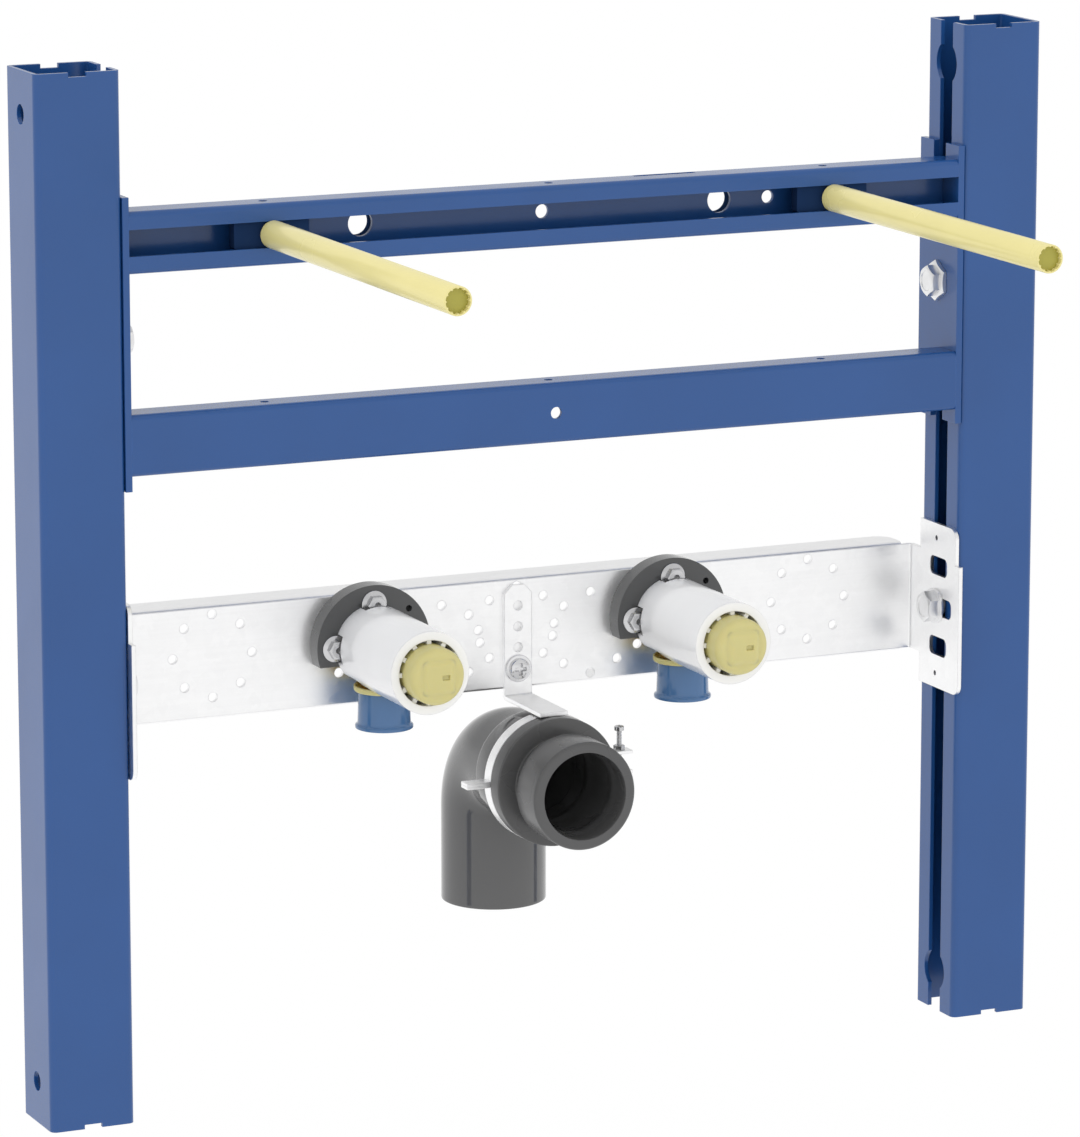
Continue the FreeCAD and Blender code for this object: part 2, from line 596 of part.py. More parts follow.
def tap_plug(side):
    """Yellow site plug in the tap's outlet, with a square boss and a screwdriver notch."""
    x = side * TAP_X
    front = V(x, PLUG_FRONT, TAP_Z)
    body = disc_bar(front, AXIS_Y, BARREL_FRONT - PLUG_FRONT, PLUG_DIAMETER)
    rim = [e for e in body.Edges if e.BoundBox.YMax < PLUG_FRONT + 0.1]
    body = body.makeChamfer(1.0, rim)
    half = PLUG_BOSS / 2
    tip = PLUG_FRONT - PLUG_BOSS_HEIGHT
    boss = block((x - half, x + half), (tip, PLUG_FRONT + 1), (TAP_Z - half, TAP_Z + half))
    boss = rounded(boss, AXIS_Y, 2.0)
    notch_x = (x + PLUG_NOTCH_X - PLUG_NOTCH_WIDTH / 2, x + PLUG_NOTCH_X + PLUG_NOTCH_WIDTH / 2)
    notch_z = (TAP_Z - PLUG_NOTCH_HEIGHT / 2, TAP_Z + PLUG_NOTCH_HEIGHT / 2)
    notch = block(notch_x, (tip - 1, tip + 1.2), notch_z)
    return carve(join([body, boss]), [notch])


def inlet_collar(side):
    """Pale collar on the inlet, under the sleeve."""
    low = V(side * TAP_X, INLET_Y, COLLAR_LOW)
    body = disc_bar(low, AXIS_Z, COLLAR_HEIGHT, COLLAR_DIAMETER)
    tray = disc_bar(low + AXIS_Z * COLLAR_FLOOR, AXIS_Z, COLLAR_HEIGHT, COLLAR_DIAMETER - 2 * COLLAR_RIM)
    return carve(body, [tray, disc_bar(low - AXIS_Z, AXIS_Z, COLLAR_HEIGHT + 2, INLET_DIAMETER)])


def inlet_cap(side):
    """Blue site cap on the inlet, with a rim round its closed lower end."""
    low = V(side * TAP_X, INLET_Y, CAP_LOW)
    body = disc_bar(low, AXIS_Z, CAP_HEIGHT, CAP_DIAMETER)
    rim = disc_bar(low, AXIS_Z, CAP_RIM, CAP_RIM_DIAMETER)
    inside = disc_bar(low + AXIS_Z * CAP_END, AXIS_Z, CAP_HEIGHT, INLET_DIAMETER)
    return carve(join([body, rim]), [inside])


def turned(profile):
    """Solid turned about the waste inlet's level axis from (depth, radius) corners."""
    points = [V(0, y, WASTE_Z + r) for y, r in profile]
    face = Part.Face(Part.makePolygon(points + points[:1]))
    return face.revolve(V(0, 0, WASTE_Z), AXIS_Y, 360)


def waste_socket():
    """Mouth of the waste bend: the seal's socket, tapering to the level pipe."""
    pipe = PIPE_DIAMETER / 2
    bore = pipe - PIPE_WALL
    socket = SOCKET_DIAMETER / 2
    seat = SEAL_DIAMETER / 2
    taper = [(SOCKET_BACK, socket), (SOCKET_BACK + SOCKET_TAPER, pipe)]
    outside = [(SOCKET_FRONT, socket)] + taper + [(ELBOW_Y, pipe)]
    inside = [(ELBOW_Y, bore), (SEAL_BACK, bore), (SEAL_BACK, seat), (SOCKET_FRONT, seat)]
    return turned(outside + inside)


def waste_bend():
    """Quarter turn of the waste pipe from level to upright."""
    centre = V(0, ELBOW_Y, ELBOW_Z)
    start = V(0, ELBOW_Y, WASTE_Z)
    turns = []
    for radius in (PIPE_DIAMETER / 2, PIPE_DIAMETER / 2 - PIPE_WALL):
        ring = Part.Face(Part.Wire(Part.makeCircle(radius, start, AXIS_Y)))
        turns.append(ring.revolve(centre, AXIS_X, -90))
    return carve(turns[0], turns[1:])


def waste_leg():
    """Plain spigot of the waste bend, straight down."""
    foot = V(0, LEG_Y, LEG_LOW)
    height = ELBOW_Z - LEG_LOW
    outside = disc_bar(foot, AXIS_Z, height, PIPE_DIAMETER)
    return carve(outside, [disc_bar(foot - AXIS_Z, AXIS_Z, height + 2, PIPE_DIAMETER - 2 * PIPE_WALL)])


def waste_seal():
    """Rubber collar for the basin's waste pipe: tapered nose, ring against the socket, seat in it."""
    bore = SEAL_BORE / 2
    body = SEAL_DIAMETER / 2
    ring = SEAL_RING_DIAMETER / 2
    nose = [(SEAL_FRONT, bore), (SEAL_FRONT, body - SEAL_CHAMFER), (SEAL_FRONT + SEAL_CHAMFER, body)]
    flange = [(SEAL_RING_FRONT, SEAL_ROOT_DIAMETER / 2), (SEAL_RING_FRONT, ring), (SOCKET_FRONT, ring)]
    return turned(nose + flange + [(SOCKET_FRONT, body), (SEAL_BACK, body), (SEAL_BACK, bore)])


def clamp_half(upper):
    """Half of the pipe clamp. The halves meet on the left and stand apart at the screw."""
    inside = SOCKET_DIAMETER / 2
    outside = inside + CLAMP_SHEET
    near, far = CLAMP_Y
    mid = (near + far) / 2
    ring = turned([(near, inside), (near, outside), (far, outside), (far, inside)])
    turn = 1 if upper else -1
    parts = []
    for side in SIDES.values():
        face = WASTE_Z + (CLAMP_OPEN if upper and side > 0 else 0)
        half = block((0, side * outside), (near - 1, far + 1), (face, face + turn * 2 * outside))
        parts.append(ring.common(half))
        ear_x = (side * inside, side * CLAMP_EAR_HALF)
        parts.append(block(ear_x, CLAMP_Y, (face, face + turn * CLAMP_EAR_SHEET)))
    socket = disc_bar(V(0, near - 1, WASTE_Z), AXIS_Y, far - near + 2, SOCKET_DIAMETER)
    hole = disc_bar(V(CLAMP_SCREW_X, mid, face - 5), AXIS_Z, 10, CLAMP_SCREW_DIAMETER)
    return carve(join(parts), [socket, hole])


def clamp_screw():
    """Upright screw through the clamp's right ears, with a nut outside each of them."""
    mid = sum(CLAMP_Y) / 2
    foot = V(CLAMP_SCREW_X, mid, WASTE_Z - CLAMP_SCREW_DOWN)
    shank = disc_bar(foot, AXIS_Z, CLAMP_SCREW_DOWN + CLAMP_SCREW_UP, CLAMP_SCREW_DIAMETER)
    top = V(CLAMP_SCREW_X, mid, WASTE_Z + CLAMP_SCREW_UP)
    head = disc_bar(top, -AXIS_Z, CLAMP_SCREW_HEAD, CLAMP_SCREW_HEAD_DIAMETER)
    above = V(CLAMP_SCREW_X, mid, WASTE_Z + CLAMP_OPEN + CLAMP_EAR_SHEET)
    below = V(CLAMP_SCREW_X, mid, WASTE_Z - CLAMP_EAR_SHEET)
    nuts = [disc_bar(above, AXIS_Z, CLAMP_NUT, CLAMP_NUT_DIAMETER)]
    nuts.append(disc_bar(below, -AXIS_Z, CLAMP_NUT, CLAMP_NUT_DIAMETER))
    return join([shank, head] + nuts)


def waste_strap():
    """Flat bar bolted to the plate and bent forward over the clamp and the seal's ring."""
    half = STRAP_WIDTH / 2
    wide = (-half, half)
    low = WASTE_Z + SOCKET_DIAMETER / 2 + CLAMP_SHEET
    back = PLATE_FRONT
    upright = block(wide, (back - STRAP, back), (low, STRAP_TOP))
    tip = edges_along(upright, AXIS_Y, lambda p: p.z > STRAP_TOP - 1)
    upright = upright.makeChamfer(STRAP_POINT, tip)
    arm = block(wide, (STRAP_FRONT, back), (low, low + STRAP))
    bar = join([upright, arm])
    bar = rounded(bar, AXIS_X, STRAP_BEND, lambda p: p.y > back - 1 and p.z < low + 1)
    inner = STRAP_BEND - STRAP
    bar = rounded(bar, AXIS_X, inner, lambda p: abs(p.y - back + STRAP) < 0.1 and p.z < low + STRAP + 1)
    bolt_z = TAP_Z - CIRCLE_RADIUS
    start = back - STRAP - 1
    heights = [bolt_z + STRAP_HOLE_PITCH * step for step in range(4)]
    cutters = [disc_bar(V(0, start, z), AXIS_Y, STRAP + 2, CIRCLE_HOLE) for z in heights]
    return carve(bar, cutters)


def strap_bolt():
    """Pan-head screw of the strap in the lowest hole of the middle circle."""
    place = V(0, PLATE_FRONT - STRAP, TAP_Z - CIRCLE_RADIUS)
    head = disc_bar(place, -AXIS_Y, STRAP_BOLT_HEAD, STRAP_BOLT_HEAD_DIAMETER)
    shank = disc_bar(place, AXIS_Y, STRAP + SHEET + 5, SCREW_SHANK)
    return join([head, shank])


def assembly():
    """All pieces by node name."""
    pieces = {
        "top_rail": top_rail(),
        "lower_rail": lower_rail(),
        "mounting_plate": mounting_plate(),
        "waste_socket": waste_socket(),
        "waste_bend": waste_bend(),
        "waste_leg": waste_leg(),
        "waste_seal": waste_seal(),
        "clamp_upper": clamp_half(True),
        "clamp_lower": clamp_half(False),
        "clamp_screw": clamp_screw(),
        "waste_strap": waste_strap(),
        "strap_bolt": strap_bolt(),
    }
    for name, side in SIDES.items():
        pieces[name + "_post"] = post(side)
        pieces[name + "_end_plate"] = end_plate(side)
        pieces[name + "_end_bolt"] = end_bolt(side)
        pieces[name + "_end_nut"] = slide_nut(side, END_BOLT_Z)
        pieces[name + "_plate_bolt"] = plate_bolt(side)
        pieces[name + "_plate_nut"] = slide_nut(side, PLATE_Z)
        pieces[name + "_rail_bush"] = rail_bush(side)
        pieces[name + "_rod"] = rod(side)
        pieces[name + "_rod_sleeve"] = rod_sleeve(side)
        pieces[name + "_rod_anchor"] = rod_anchor(side)
        pieces[name + "_tap_disc"] = tap_disc(side)
        pieces[name + "_tap_sleeve"] = tap_sleeve(side)
        pieces[name + "_tap_body"] = tap_body(side)
        pieces[name + "_tap_plug"] = tap_plug(side)
        pieces[name + "_inlet_collar"] = inlet_collar(side)
        pieces[name + "_inlet_cap"] = inlet_cap(side)
        for place, centre in screw_places(side).items():
            pieces[name + "_tap_screw_" + place] = tap_screw(centre)
    return pieces


os.makedirs("parts", exist_ok=True)
origin = V(-FRAME_WIDTH / 2, POST_MID, FRAME_HEIGHT / 2)
for node, shape in assembly().items():
    shape.translate(-origin)
    shape.exportStep(os.path.join("parts", node + ".step"))
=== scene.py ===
"""Looks of an installation frame for a wall-hung basin.

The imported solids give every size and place. Folded sheet, discs and tap sleeves keep their solids and
get finishes; turned, threaded and moulded pieces are surfaces worked out here on grids of points.
Lengths in the mesh functions are in mm and go into the meshes in metres.
"""
import json
import math

import bmesh
import bpy
import numpy as np
from bpy.props import FloatProperty, FloatVectorProperty, IntProperty, PointerProperty
from mathutils import Matrix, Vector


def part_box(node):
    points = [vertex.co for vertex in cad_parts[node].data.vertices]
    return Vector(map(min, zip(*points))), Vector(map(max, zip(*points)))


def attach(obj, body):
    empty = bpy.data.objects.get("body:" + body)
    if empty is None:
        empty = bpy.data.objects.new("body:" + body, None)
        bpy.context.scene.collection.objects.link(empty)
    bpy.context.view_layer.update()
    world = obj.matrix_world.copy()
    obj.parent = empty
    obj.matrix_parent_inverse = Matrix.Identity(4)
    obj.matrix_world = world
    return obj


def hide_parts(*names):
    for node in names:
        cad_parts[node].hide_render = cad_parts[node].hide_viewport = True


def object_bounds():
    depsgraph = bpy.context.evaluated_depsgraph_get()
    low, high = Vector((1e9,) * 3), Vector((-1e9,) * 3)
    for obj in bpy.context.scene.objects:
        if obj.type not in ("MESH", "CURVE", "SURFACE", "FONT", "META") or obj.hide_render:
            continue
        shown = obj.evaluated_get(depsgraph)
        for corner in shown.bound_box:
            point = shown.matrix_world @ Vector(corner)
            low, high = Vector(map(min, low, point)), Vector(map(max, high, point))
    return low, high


bl_info = {
    "name": "Basin frame looks",
    "version": (1, 0, 0),
    "blender": (4, 5, 0),
    "location": "3D View > Sidebar > Basin frame",
    "description": "Dresses an installation frame for a wall-hung basin and lights it in a white studio",
    "category": "Object",
}

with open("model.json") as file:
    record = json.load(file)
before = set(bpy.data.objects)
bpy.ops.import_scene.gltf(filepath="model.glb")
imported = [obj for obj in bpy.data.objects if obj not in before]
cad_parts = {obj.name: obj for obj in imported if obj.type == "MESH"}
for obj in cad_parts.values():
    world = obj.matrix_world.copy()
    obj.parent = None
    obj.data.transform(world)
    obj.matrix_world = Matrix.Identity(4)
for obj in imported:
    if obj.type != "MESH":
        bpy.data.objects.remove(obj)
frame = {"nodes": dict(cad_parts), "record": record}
CAD_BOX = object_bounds()
MM = 0.001
TAU = 2 * math.pi
SIDES = ("left", "right")
X, Y, Z = np.eye(3)
# Breadth in mm by which faces that meet are sunk or kept apart, so that they never coincide
HAIR = 0.02
# Length in mm by which a shank runs on into its head
ROOT = 0.5
# Columns round a hex head
HEX_COLS = 72
# Points closer than this, in metres, are one
WELD = 2e-6
# The parts of a noise's range that are spread over a whole one: a narrow part gives clearer patches
NARROW = (0.35, 0.65)
WIDE = (0.3, 0.7)
UNIT = (0.0, 1.0)
WHITE = (1.0, 1.0, 1.0, 1.0)
COAT_ROUGHNESS = 0.05
# Where the softboxes stand, in metres from the middle of the frame, and their width and height
KEY_PLACE = np.array([-2.2, -0.35, 1.9])
KEY_SIZE = (1.8, 1.8)
FILL_PLACE = np.array([1.05, -2.1, 0.2])
FILL_SIZE = (2.0, 1.8)
# Ranges of a direction's Y, from the front of the room to its back, and of its Z, from its walls to its ceiling
FRONT_EDGE = (-0.12, 0.02)
CEILING_EDGE = (0.0, 0.15)
# Half the floor's width, and the distances in metres over which its shadow fades from a share of white
FLOOR_HALF = 40.0
SHADOW_FADE = (0.5, 1.1)
SHADOW_WHITE = 0.72


def colour(name, description, default):
    """A colour that a user would change."""
    return FloatVectorProperty(
        name=name, description=description, default=default, subtype="COLOR", size=3, min=0.0, max=1.0
    )


def length(name, description, default):
    """A length that a user would change, given in mm and kept in metres."""
    return FloatProperty(
        name=name, description=description, default=default * MM, min=0.0, precision=5, unit="LENGTH"
    )


class BasinFrameColours(bpy.types.PropertyGroup):
    """Base colours of the finishes, in linear light."""

    paint: colour("Paint", "Powder coat of posts, rails and end plates", (0.015, 0.076, 0.258))
    # The dark coat is a darker, matte copy of the blue paint: painted shade for the bushes and slide nuts that
    # lie in shadow inside the top rail.
    paint_in_shade: colour("Dark coat", "Slide nuts and bushes of the top rail", (0.012, 0.030, 0.085))
    zinc: colour("Zinc sheet", "Mounting plate, strap and clamp", (0.995, 0.995, 0.998))
    steel: colour("Bright steel", "Basin rods and the bolt of the strap", (0.80, 0.80, 0.81))
    plated: colour("Plated steel", "Frame bolts", (0.91, 0.91, 0.915))
    screw: colour("Dull steel", "Small screws of the taps and the clamp", (0.66, 0.66, 0.67))
    brass: colour("Brass", "Tap bodies", (0.70, 0.52, 0.22))
    # Plugs, collars and rod sleeves are one yellow plastic given as two copies: a darker one in painted shade
    # for plugs and collars, and a lighter one, painted light, for the rod sleeves.
    yellow: colour("Yellow plastic", "Plugs and inlet collars", (0.60, 0.545, 0.235))
    sleeve: colour("Sleeve plastic", "Rod sleeves", (0.81, 0.725, 0.305))
    # The sleeve end is the sleeve's yellow in painted shade: darker and more olive, as deep inside the sleeve's
    # tip.
    shaded_sleeve_end: colour("Sleeve end", "End walls of the rod sleeves, deeper in colour", (0.39, 0.36, 0.060))
    white: colour("White plastic", "Tap sleeves", (0.88, 0.88, 0.885))
    cap: colour("Blue plastic", "Site caps of the inlets", (0.060, 0.148, 0.312))
    disc: colour("Grey rubber", "Damping discs under the taps", (0.062, 0.063, 0.064))
    seal: colour("Black rubber", "Collar of the waste pipe", (0.082, 0.082, 0.083))
    bend: colour("Grey plastic", "Waste bend", (0.092, 0.092, 0.093))


class BasinFrameSizes(bpy.types.PropertyGroup):
    """Sizes of details that the solids leave plain."""

    edge: length("Edge rounding", "Radius to which sharp edges are eased", 0.5)
    rod_pitch: length("Rod pitch", "Pitch of the thread on the basin rods", 1.5)
    rod_thread: length("Rod thread depth", "Depth of the thread on the basin rods", 0.9)
    screw_pitch: length("Screw pitch", "Pitch of the thread on the small screws", 0.7)
    sleeve_wall: length("Sleeve wall", "Wall of the rod sleeves between their ribs", 0.8)
    sleeve_ribs: IntProperty(name="Sleeve ribs", description="Ribs inside a rod sleeve", default=12, min=3)
    end_collar: length("End bolt collar", "Height of the hex collar of an end plate's bolt", 2.6)
    end_head: length("End bolt head", "Height of the head on that collar", 4.0)
    head_dish: length("Head dish", "Depth of the dished face of a hex head", 0.35)
    flange: length("Flange", "Thickness of the flange under a tap screw's head", 1.4)
    flange_flats: length("Flange screw flats", "Width across flats of a tap screw's head", 8.0)
    recess: length("Recess", "Depth of a cross recess", 1.6)
    cap_taper: length("Cap taper", "How much narrower a site cap is at its top, in radius", 0.7)
    collar_rim: length("Collar rim", "Wall of the cup in an inlet collar", 1.1)
    seal_lip: length("Seal lip", "Height of the lips inside the waste seal", 0.7)


class BasinFrameStage(bpy.types.PropertyGroup):
    """Camera and light."""

    camera_place: FloatVectorProperty(
        name="Camera place", description="Where the camera stands", subtype="TRANSLATION", size=3,
        default=(-0.86989, -2.4794, 0.55722),
    )
    camera_turn: FloatProperty(
        name="Camera turn", description="Turn of the camera to the right", subtype="ANGLE",
        default=math.radians(24.314),
    )
    camera_tilt: FloatProperty(
        name="Camera tilt", description="Tilt of the camera downwards", subtype="ANGLE",
        default=math.radians(11.662),
    )
    lens: FloatProperty(
        name="Lens", description="Focal length on a 36 mm high picture", subtype="DISTANCE_CAMERA",
        default=189.86, min=1.0,
    )
    floor_drop: length("Floor drop", "Height of the frame over the floor", 300.0)
    floor: colour("Floor", "Pale floor", (0.93, 0.93, 0.93))
    sky: FloatProperty(name="Sky", description="Even light from all round", default=1.0, min=0.0)
    front: FloatProperty(
        name="Front", description="Brightness of the studio behind the camera, as reflections show it",
        default=0.98, min=0.0, max=1.0,
    )
    above: FloatProperty(
        name="Above", description="Brightness of the studio overhead, as reflections show it",
        default=0.80, min=0.0, max=1.0,
    )
    key: FloatProperty(
        name="Key light", description="Soft light from the upper left", subtype="POWER", default=12.0, min=0.0
    )
    fill: FloatProperty(
        name="Fill light", description="Soft light from the right", subtype="POWER", default=7.0, min=0.0
    )


def spot(node):
    """Lowest corner, highest corner and middle of a solid, in mm."""
    low, high = (np.array(corner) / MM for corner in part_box(node))
    return low, high, (low + high) / 2


def grid_faces(rows, cols, ring):
    """Quads of a grid whose columns close on themselves, and its rows too where it is a ring."""
    index = np.arange(rows * cols).reshape(rows, cols)
    index = np.hstack([index, index[:, :1]])
    if ring:
        index = np.vstack([index, index[:1]])
    corners = (index[:-1, :-1], index[:-1, 1:], index[1:, 1:], index[1:, :-1])
    return np.stack(corners, axis=-1).reshape(-1, 4)


def skin(points, ring=False):
    """Points of a grid (rows, columns, 3) and its faces, as one closed surface."""
    rows, cols = points.shape[:2]
    return points.reshape(-1, 3), grid_faces(rows, cols, ring)


def gathered(skins):
    """Several closed surfaces as one list of points and faces."""
    starts = np.cumsum([0] + [len(points) for points, _ in skins[:-1]])
    points = np.vstack([points for points, _ in skins])
    faces = np.vstack([faces + start for start, (_, faces) in zip(starts, skins)])
    return points, faces


def round_turn(cols):
    """Angles of the columns of a surface of revolution."""
    return np.arange(cols) * TAU / cols


def polar(height, radius, angle):
    """Points (r cos a, r sin a, h) from heights and radii given by row, or by row and column."""
    height, radius, angle = np.broadcast_arrays(height, radius, angle[None, :])
    return np.stack([radius * np.cos(angle), radius * np.sin(angle), height], axis=-1)


def ringed(rows, angle):
    """Rings on one set of angles from rows (h, r), each of the two one value or one for every angle."""
    height = np.stack([np.broadcast_to(h, angle.shape) for h, _ in rows])
    radius = np.stack([np.broadcast_to(r, angle.shape) for _, r in rows])
    return polar(height, radius, angle)


def lathe(profile, cols=72):
    """Surface of revolution: each profile point (h, r) becomes the circle of radius r at height h."""
    profile = np.asarray(profile, float)
    return polar(profile[:, :1], profile[:, 1:], round_turn(cols))


def eased(corners, radius, closed=False, steps=5):
    """Polyline with rounded corners: each corner P between A and B, points at most a radius and 0.45 of
    a side away from it, becomes the curve (1-t)^2 A + 2t(1-t) P + t^2 B."""
    corners = np.asarray(corners, float)

    def near(neighbours):
        """Points on the way from each corner to its neighbour."""
        way = neighbours - corners
        far = np.maximum(np.linalg.norm(way, axis=1, keepdims=True), 1e-9)
        return (corners + way / far * np.minimum(radius, 0.45 * far))[:, None]

    a = near(np.roll(corners, 1, axis=0))
    b = near(np.roll(corners, -1, axis=0))
    t = np.linspace(0, 1, steps)[None, :, None]
    curve = (1 - t) ** 2 * a + 2 * t * (1 - t) * corners[:, None] + t**2 * b
    if closed:
        return curve.reshape(-1, 2)
    return np.vstack([corners[:1], curve[1:-1].reshape(-1, 2), corners[-1:]])


def stood(points, origin, along, across):
    """Local points (u, v, w) set down at an origin, w running along one direction and u across it."""
    third = np.cross(along, across)
    return origin + points[..., :1] * across + points[..., 1:2] * third + points[..., 2:] * along


def shifted(point, axis, value):
    """A point with one of its coordinates changed."""
    made = point.copy()
    made[axis] = value
    return made


def hex_reach(angle, flats):
    """Distance from the middle to the edge of a hexagon with corners at 0, 60, ... degrees:
    (flats / 2) / cos(a'), a' being the angle to the middle of its flat."""
    to_flat = np.mod(angle, TAU / 6) - TAU / 12
    return flats / 2 / np.cos(to_flat)


def hex_head(flats, tall, dish=0.0):
    """Chamfered hex head: the sides rise to tall - (reach - crown) tan 30, where a 30 degree cone cuts
    them, then the cone's circle, the crown, closes over a slightly dished face."""
    angle = round_turn(HEX_COLS)
    reach = hex_reach(angle, flats)
    crown = 0.47 * flats
    shoulder = tall - (reach - crown) * math.tan(math.radians(30))
    rim = 0.80 * crown
    foot = 0.15
    face = tall - dish
    rows = [(0, 0), (0, reach - foot), (foot, reach), (shoulder, reach), (tall, crown), (tall, rim),
            (face, 0.94 * rim), (face, 0)]
    return ringed(rows, angle)


def threaded_bar(tall, radius, pitch, depth, cols=24, per_pitch=8):
    """Threaded bar: at height h and angle a the radius is R - d (1 + cos(2 pi h / pitch - a)) / 2, and no
    more than the 45 degree chamfers at its ends allow."""
    rows = int(tall / pitch * per_pitch) + 2
    height = np.linspace(0, tall, rows)[:, None]
    angle = round_turn(cols)
    reach = radius - depth * (1 + np.cos(TAU * height / pitch - angle[None, :])) / 2
    reach = np.minimum(reach, radius - depth + np.minimum(height, tall - height))
    pole = np.zeros((1, cols))
    reach = np.vstack([pole, reach, pole])
    height = np.vstack([[[0.0]], height, [[tall]]])
    return polar(height, reach, angle)


def small_shank(tall, sizes):
    """Shank of an M4 screw, running on into its head."""
    return threaded_bar(tall + ROOT, radius=1.98, pitch=sizes.screw_pitch / MM, depth=0.35, cols=20)


def squared(angle, half_u, half_v, power=9.0):
    """Reach of a rounded rectangle: (|cos a / u|^n + |sin a / v|^n)^(-1/n)."""
    total = np.abs(np.cos(angle) / half_u) ** power + np.abs(np.sin(angle) / half_v) ** power
    return total ** (-1 / power)


def step(value, low, high):
    """Smooth step from 0 at low to 1 at high."""
    t = np.clip((value - low) / (high - low), 0, 1)
    return t * t * (3 - 2 * t)


def recessed_face(radius, dome, depth, arm, slot_only=False, rings=36, cols=96):
    """Domed screw face over a disc: height dome (1 - (r / R)^2) less a recess of smooth-edged bars, one
    for a slot or two crossing ones, each an arm wide to either side."""
    angle = round_turn(cols)
    reach = np.linspace(radius, 0, rings)[:, None]
    u = np.abs(reach * np.cos(angle))
    v = np.abs(reach * np.sin(angle))
    soft = 0.12 if slot_only else 0.2
    cut = 1 - step(v, arm - soft, arm + soft)
    if not slot_only:
        span = 0.66 * radius
        end = 0.5
        second = 1 - step(u, arm - soft, arm + soft)
        cut = np.maximum(cut * (1 - step(u, span - end, span)), second * (1 - step(v, span - end, span)))
    height = dome * (1 - (reach / radius) ** 2) - depth * cut
    return height, np.broadcast_to(reach, height.shape), angle


def linked(name, data):
    """New object of some data, in the scene."""
    made = bpy.data.objects.new(name, data)
    bpy.context.scene.collection.objects.link(made)
    return made


def piece(name, surface, finish, nodes, sharp=32.0):
    """Makes one object of a list of points and faces, welds its seams and poles, turns its faces
    outwards, and sets it in place of solids of the frame."""
    points, faces = surface
    mesh = bpy.data.meshes.new(name)
    mesh.from_pydata((points * MM).tolist(), [], faces.tolist())
    work = bmesh.new()
    work.from_mesh(mesh)
    bmesh.ops.remove_doubles(work, verts=work.verts, dist=WELD)
    bmesh.ops.dissolve_degenerate(work, edges=work.edges, dist=WELD / 2)
    bmesh.ops.recalc_face_normals(work, faces=work.faces)
    work.to_mesh(mesh)
    work.free()
    mesh.shade_smooth()
    mesh.set_sharp_from_angle(angle=math.radians(sharp))
    made = linked(name, mesh)
    mesh.materials.append(finished(finish))
    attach(made, "root")
    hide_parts(*nodes)


def dress(node, finish):
    """Gives a solid that stays its finish."""
    mesh = frame["nodes"][node].data
    mesh.materials.clear()
    mesh.materials.append(finished(finish))


def feed(tree, node, inputs):
    """Sets inputs of a shader node, or links them where the value is an output of another node."""
    for name, value in inputs.items():
        if isinstance(value, bpy.types.NodeSocket):
            tree.links.new(value, node.inputs[name])
        else:
            node.inputs[name].default_value = value


def add(tree, kind, inputs=None, **settings):
    """Adds a shader node with its settings and inputs."""
    made = tree.nodes.new(kind)
    for name, value in settings.items():
        setattr(made, name, value)
    feed(tree, made, inputs or {})
    return made


def combined(tree, operation, first, second):
    """Two values put together by a Math node."""
    return add(tree, "ShaderNodeMath", {0: first, 1: second}, operation=operation).outputs[0]


def ranged(tree, value, source, target):
    """A value carried from one range into another, and held at its ends."""
    inputs = {0: value, 1: source[0], 2: source[1], 3: target[0], 4: target[1]}
    return add(tree, "ShaderNodeMapRange", inputs).outputs[0]


def blended(tree, share, first, second):
    """A colour with a share of a second one."""
    return add(tree, "ShaderNodeMix", {0: share, 6: first, 7: second}, data_type="RGBA").outputs[2]


def shared(name, inputs, outputs, build):
    """A shader node group, built once: its sockets, colours where they have four channels or that name,
    then its inside by a function that gives the outputs."""
    tree = bpy.data.node_groups.get(name)
    if tree:
        return tree
    tree = bpy.data.node_groups.new(name, "ShaderNodeTree")
    for socket, value in inputs.items():
        kind = "NodeSocketColor" if isinstance(value, tuple) else "NodeSocketFloat"
        tree.interface.new_socket(socket, in_out="INPUT", socket_type=kind).default_value = value
    for socket in outputs:
        kind = "NodeSocketColor" if socket == "Color" else "NodeSocketFloat"
        tree.interface.new_socket(socket, in_out="OUTPUT", socket_type=kind)
    start = tree.nodes.new("NodeGroupInput").outputs
    feed(tree, tree.nodes.new("NodeGroupOutput"), build(tree, start))
    return tree


def placed(tree, group, inputs):
    """Outputs of a shader node group set into a material with its own values."""
    return add(tree, "ShaderNodeGroup", inputs, node_tree=group).outputs


def place_noise(tree, scale, stretch=(1.0, 1.0, 1.0), detail=2.0):
    """Noise on Object coordinates, stretched along the axes."""
    where = add(tree, "ShaderNodeTexCoord").outputs["Object"]
    spread = add(tree, "ShaderNodeMapping", {"Vector": where, "Scale": stretch}).outputs[0]
    inputs = {"Vector": spread, "Scale": scale, "Detail": detail}
    return add(tree, "ShaderNodeTexNoise", inputs).outputs["Fac"]


def tone_drift():
    """Group: a colour that drifts towards a second one in broad, faint patches."""

    def build(tree, start):
        noise = place_noise(tree, start["Scale"], detail=3.0)
        share = ranged(tree, noise, NARROW, (0.0, start["Amount"]))
        return {"Color": blended(tree, share, start["Color"], start["Second"])}

    inputs = {"Color": WHITE, "Second": WHITE, "Amount": 0.5, "Scale": 12.0}
    return shared("tone_drift", inputs, ["Color"], build)


def surface_grain():
    """Group: fine grain as a bump height, and a roughness that wanders between two values."""

    def build(tree, start):
        fine = place_noise(tree, start["Scale"], detail=4.0)
        broad = place_noise(tree, 35.0, detail=3.0)
        return {"Height": fine, "Roughness": ranged(tree, broad, WIDE, (start["Smooth"], start["Rough"]))}

    inputs = {"Scale": 900.0, "Smooth": 0.3, "Rough": 0.4}
    return shared("surface_grain", inputs, ["Height", "Roughness"], build)


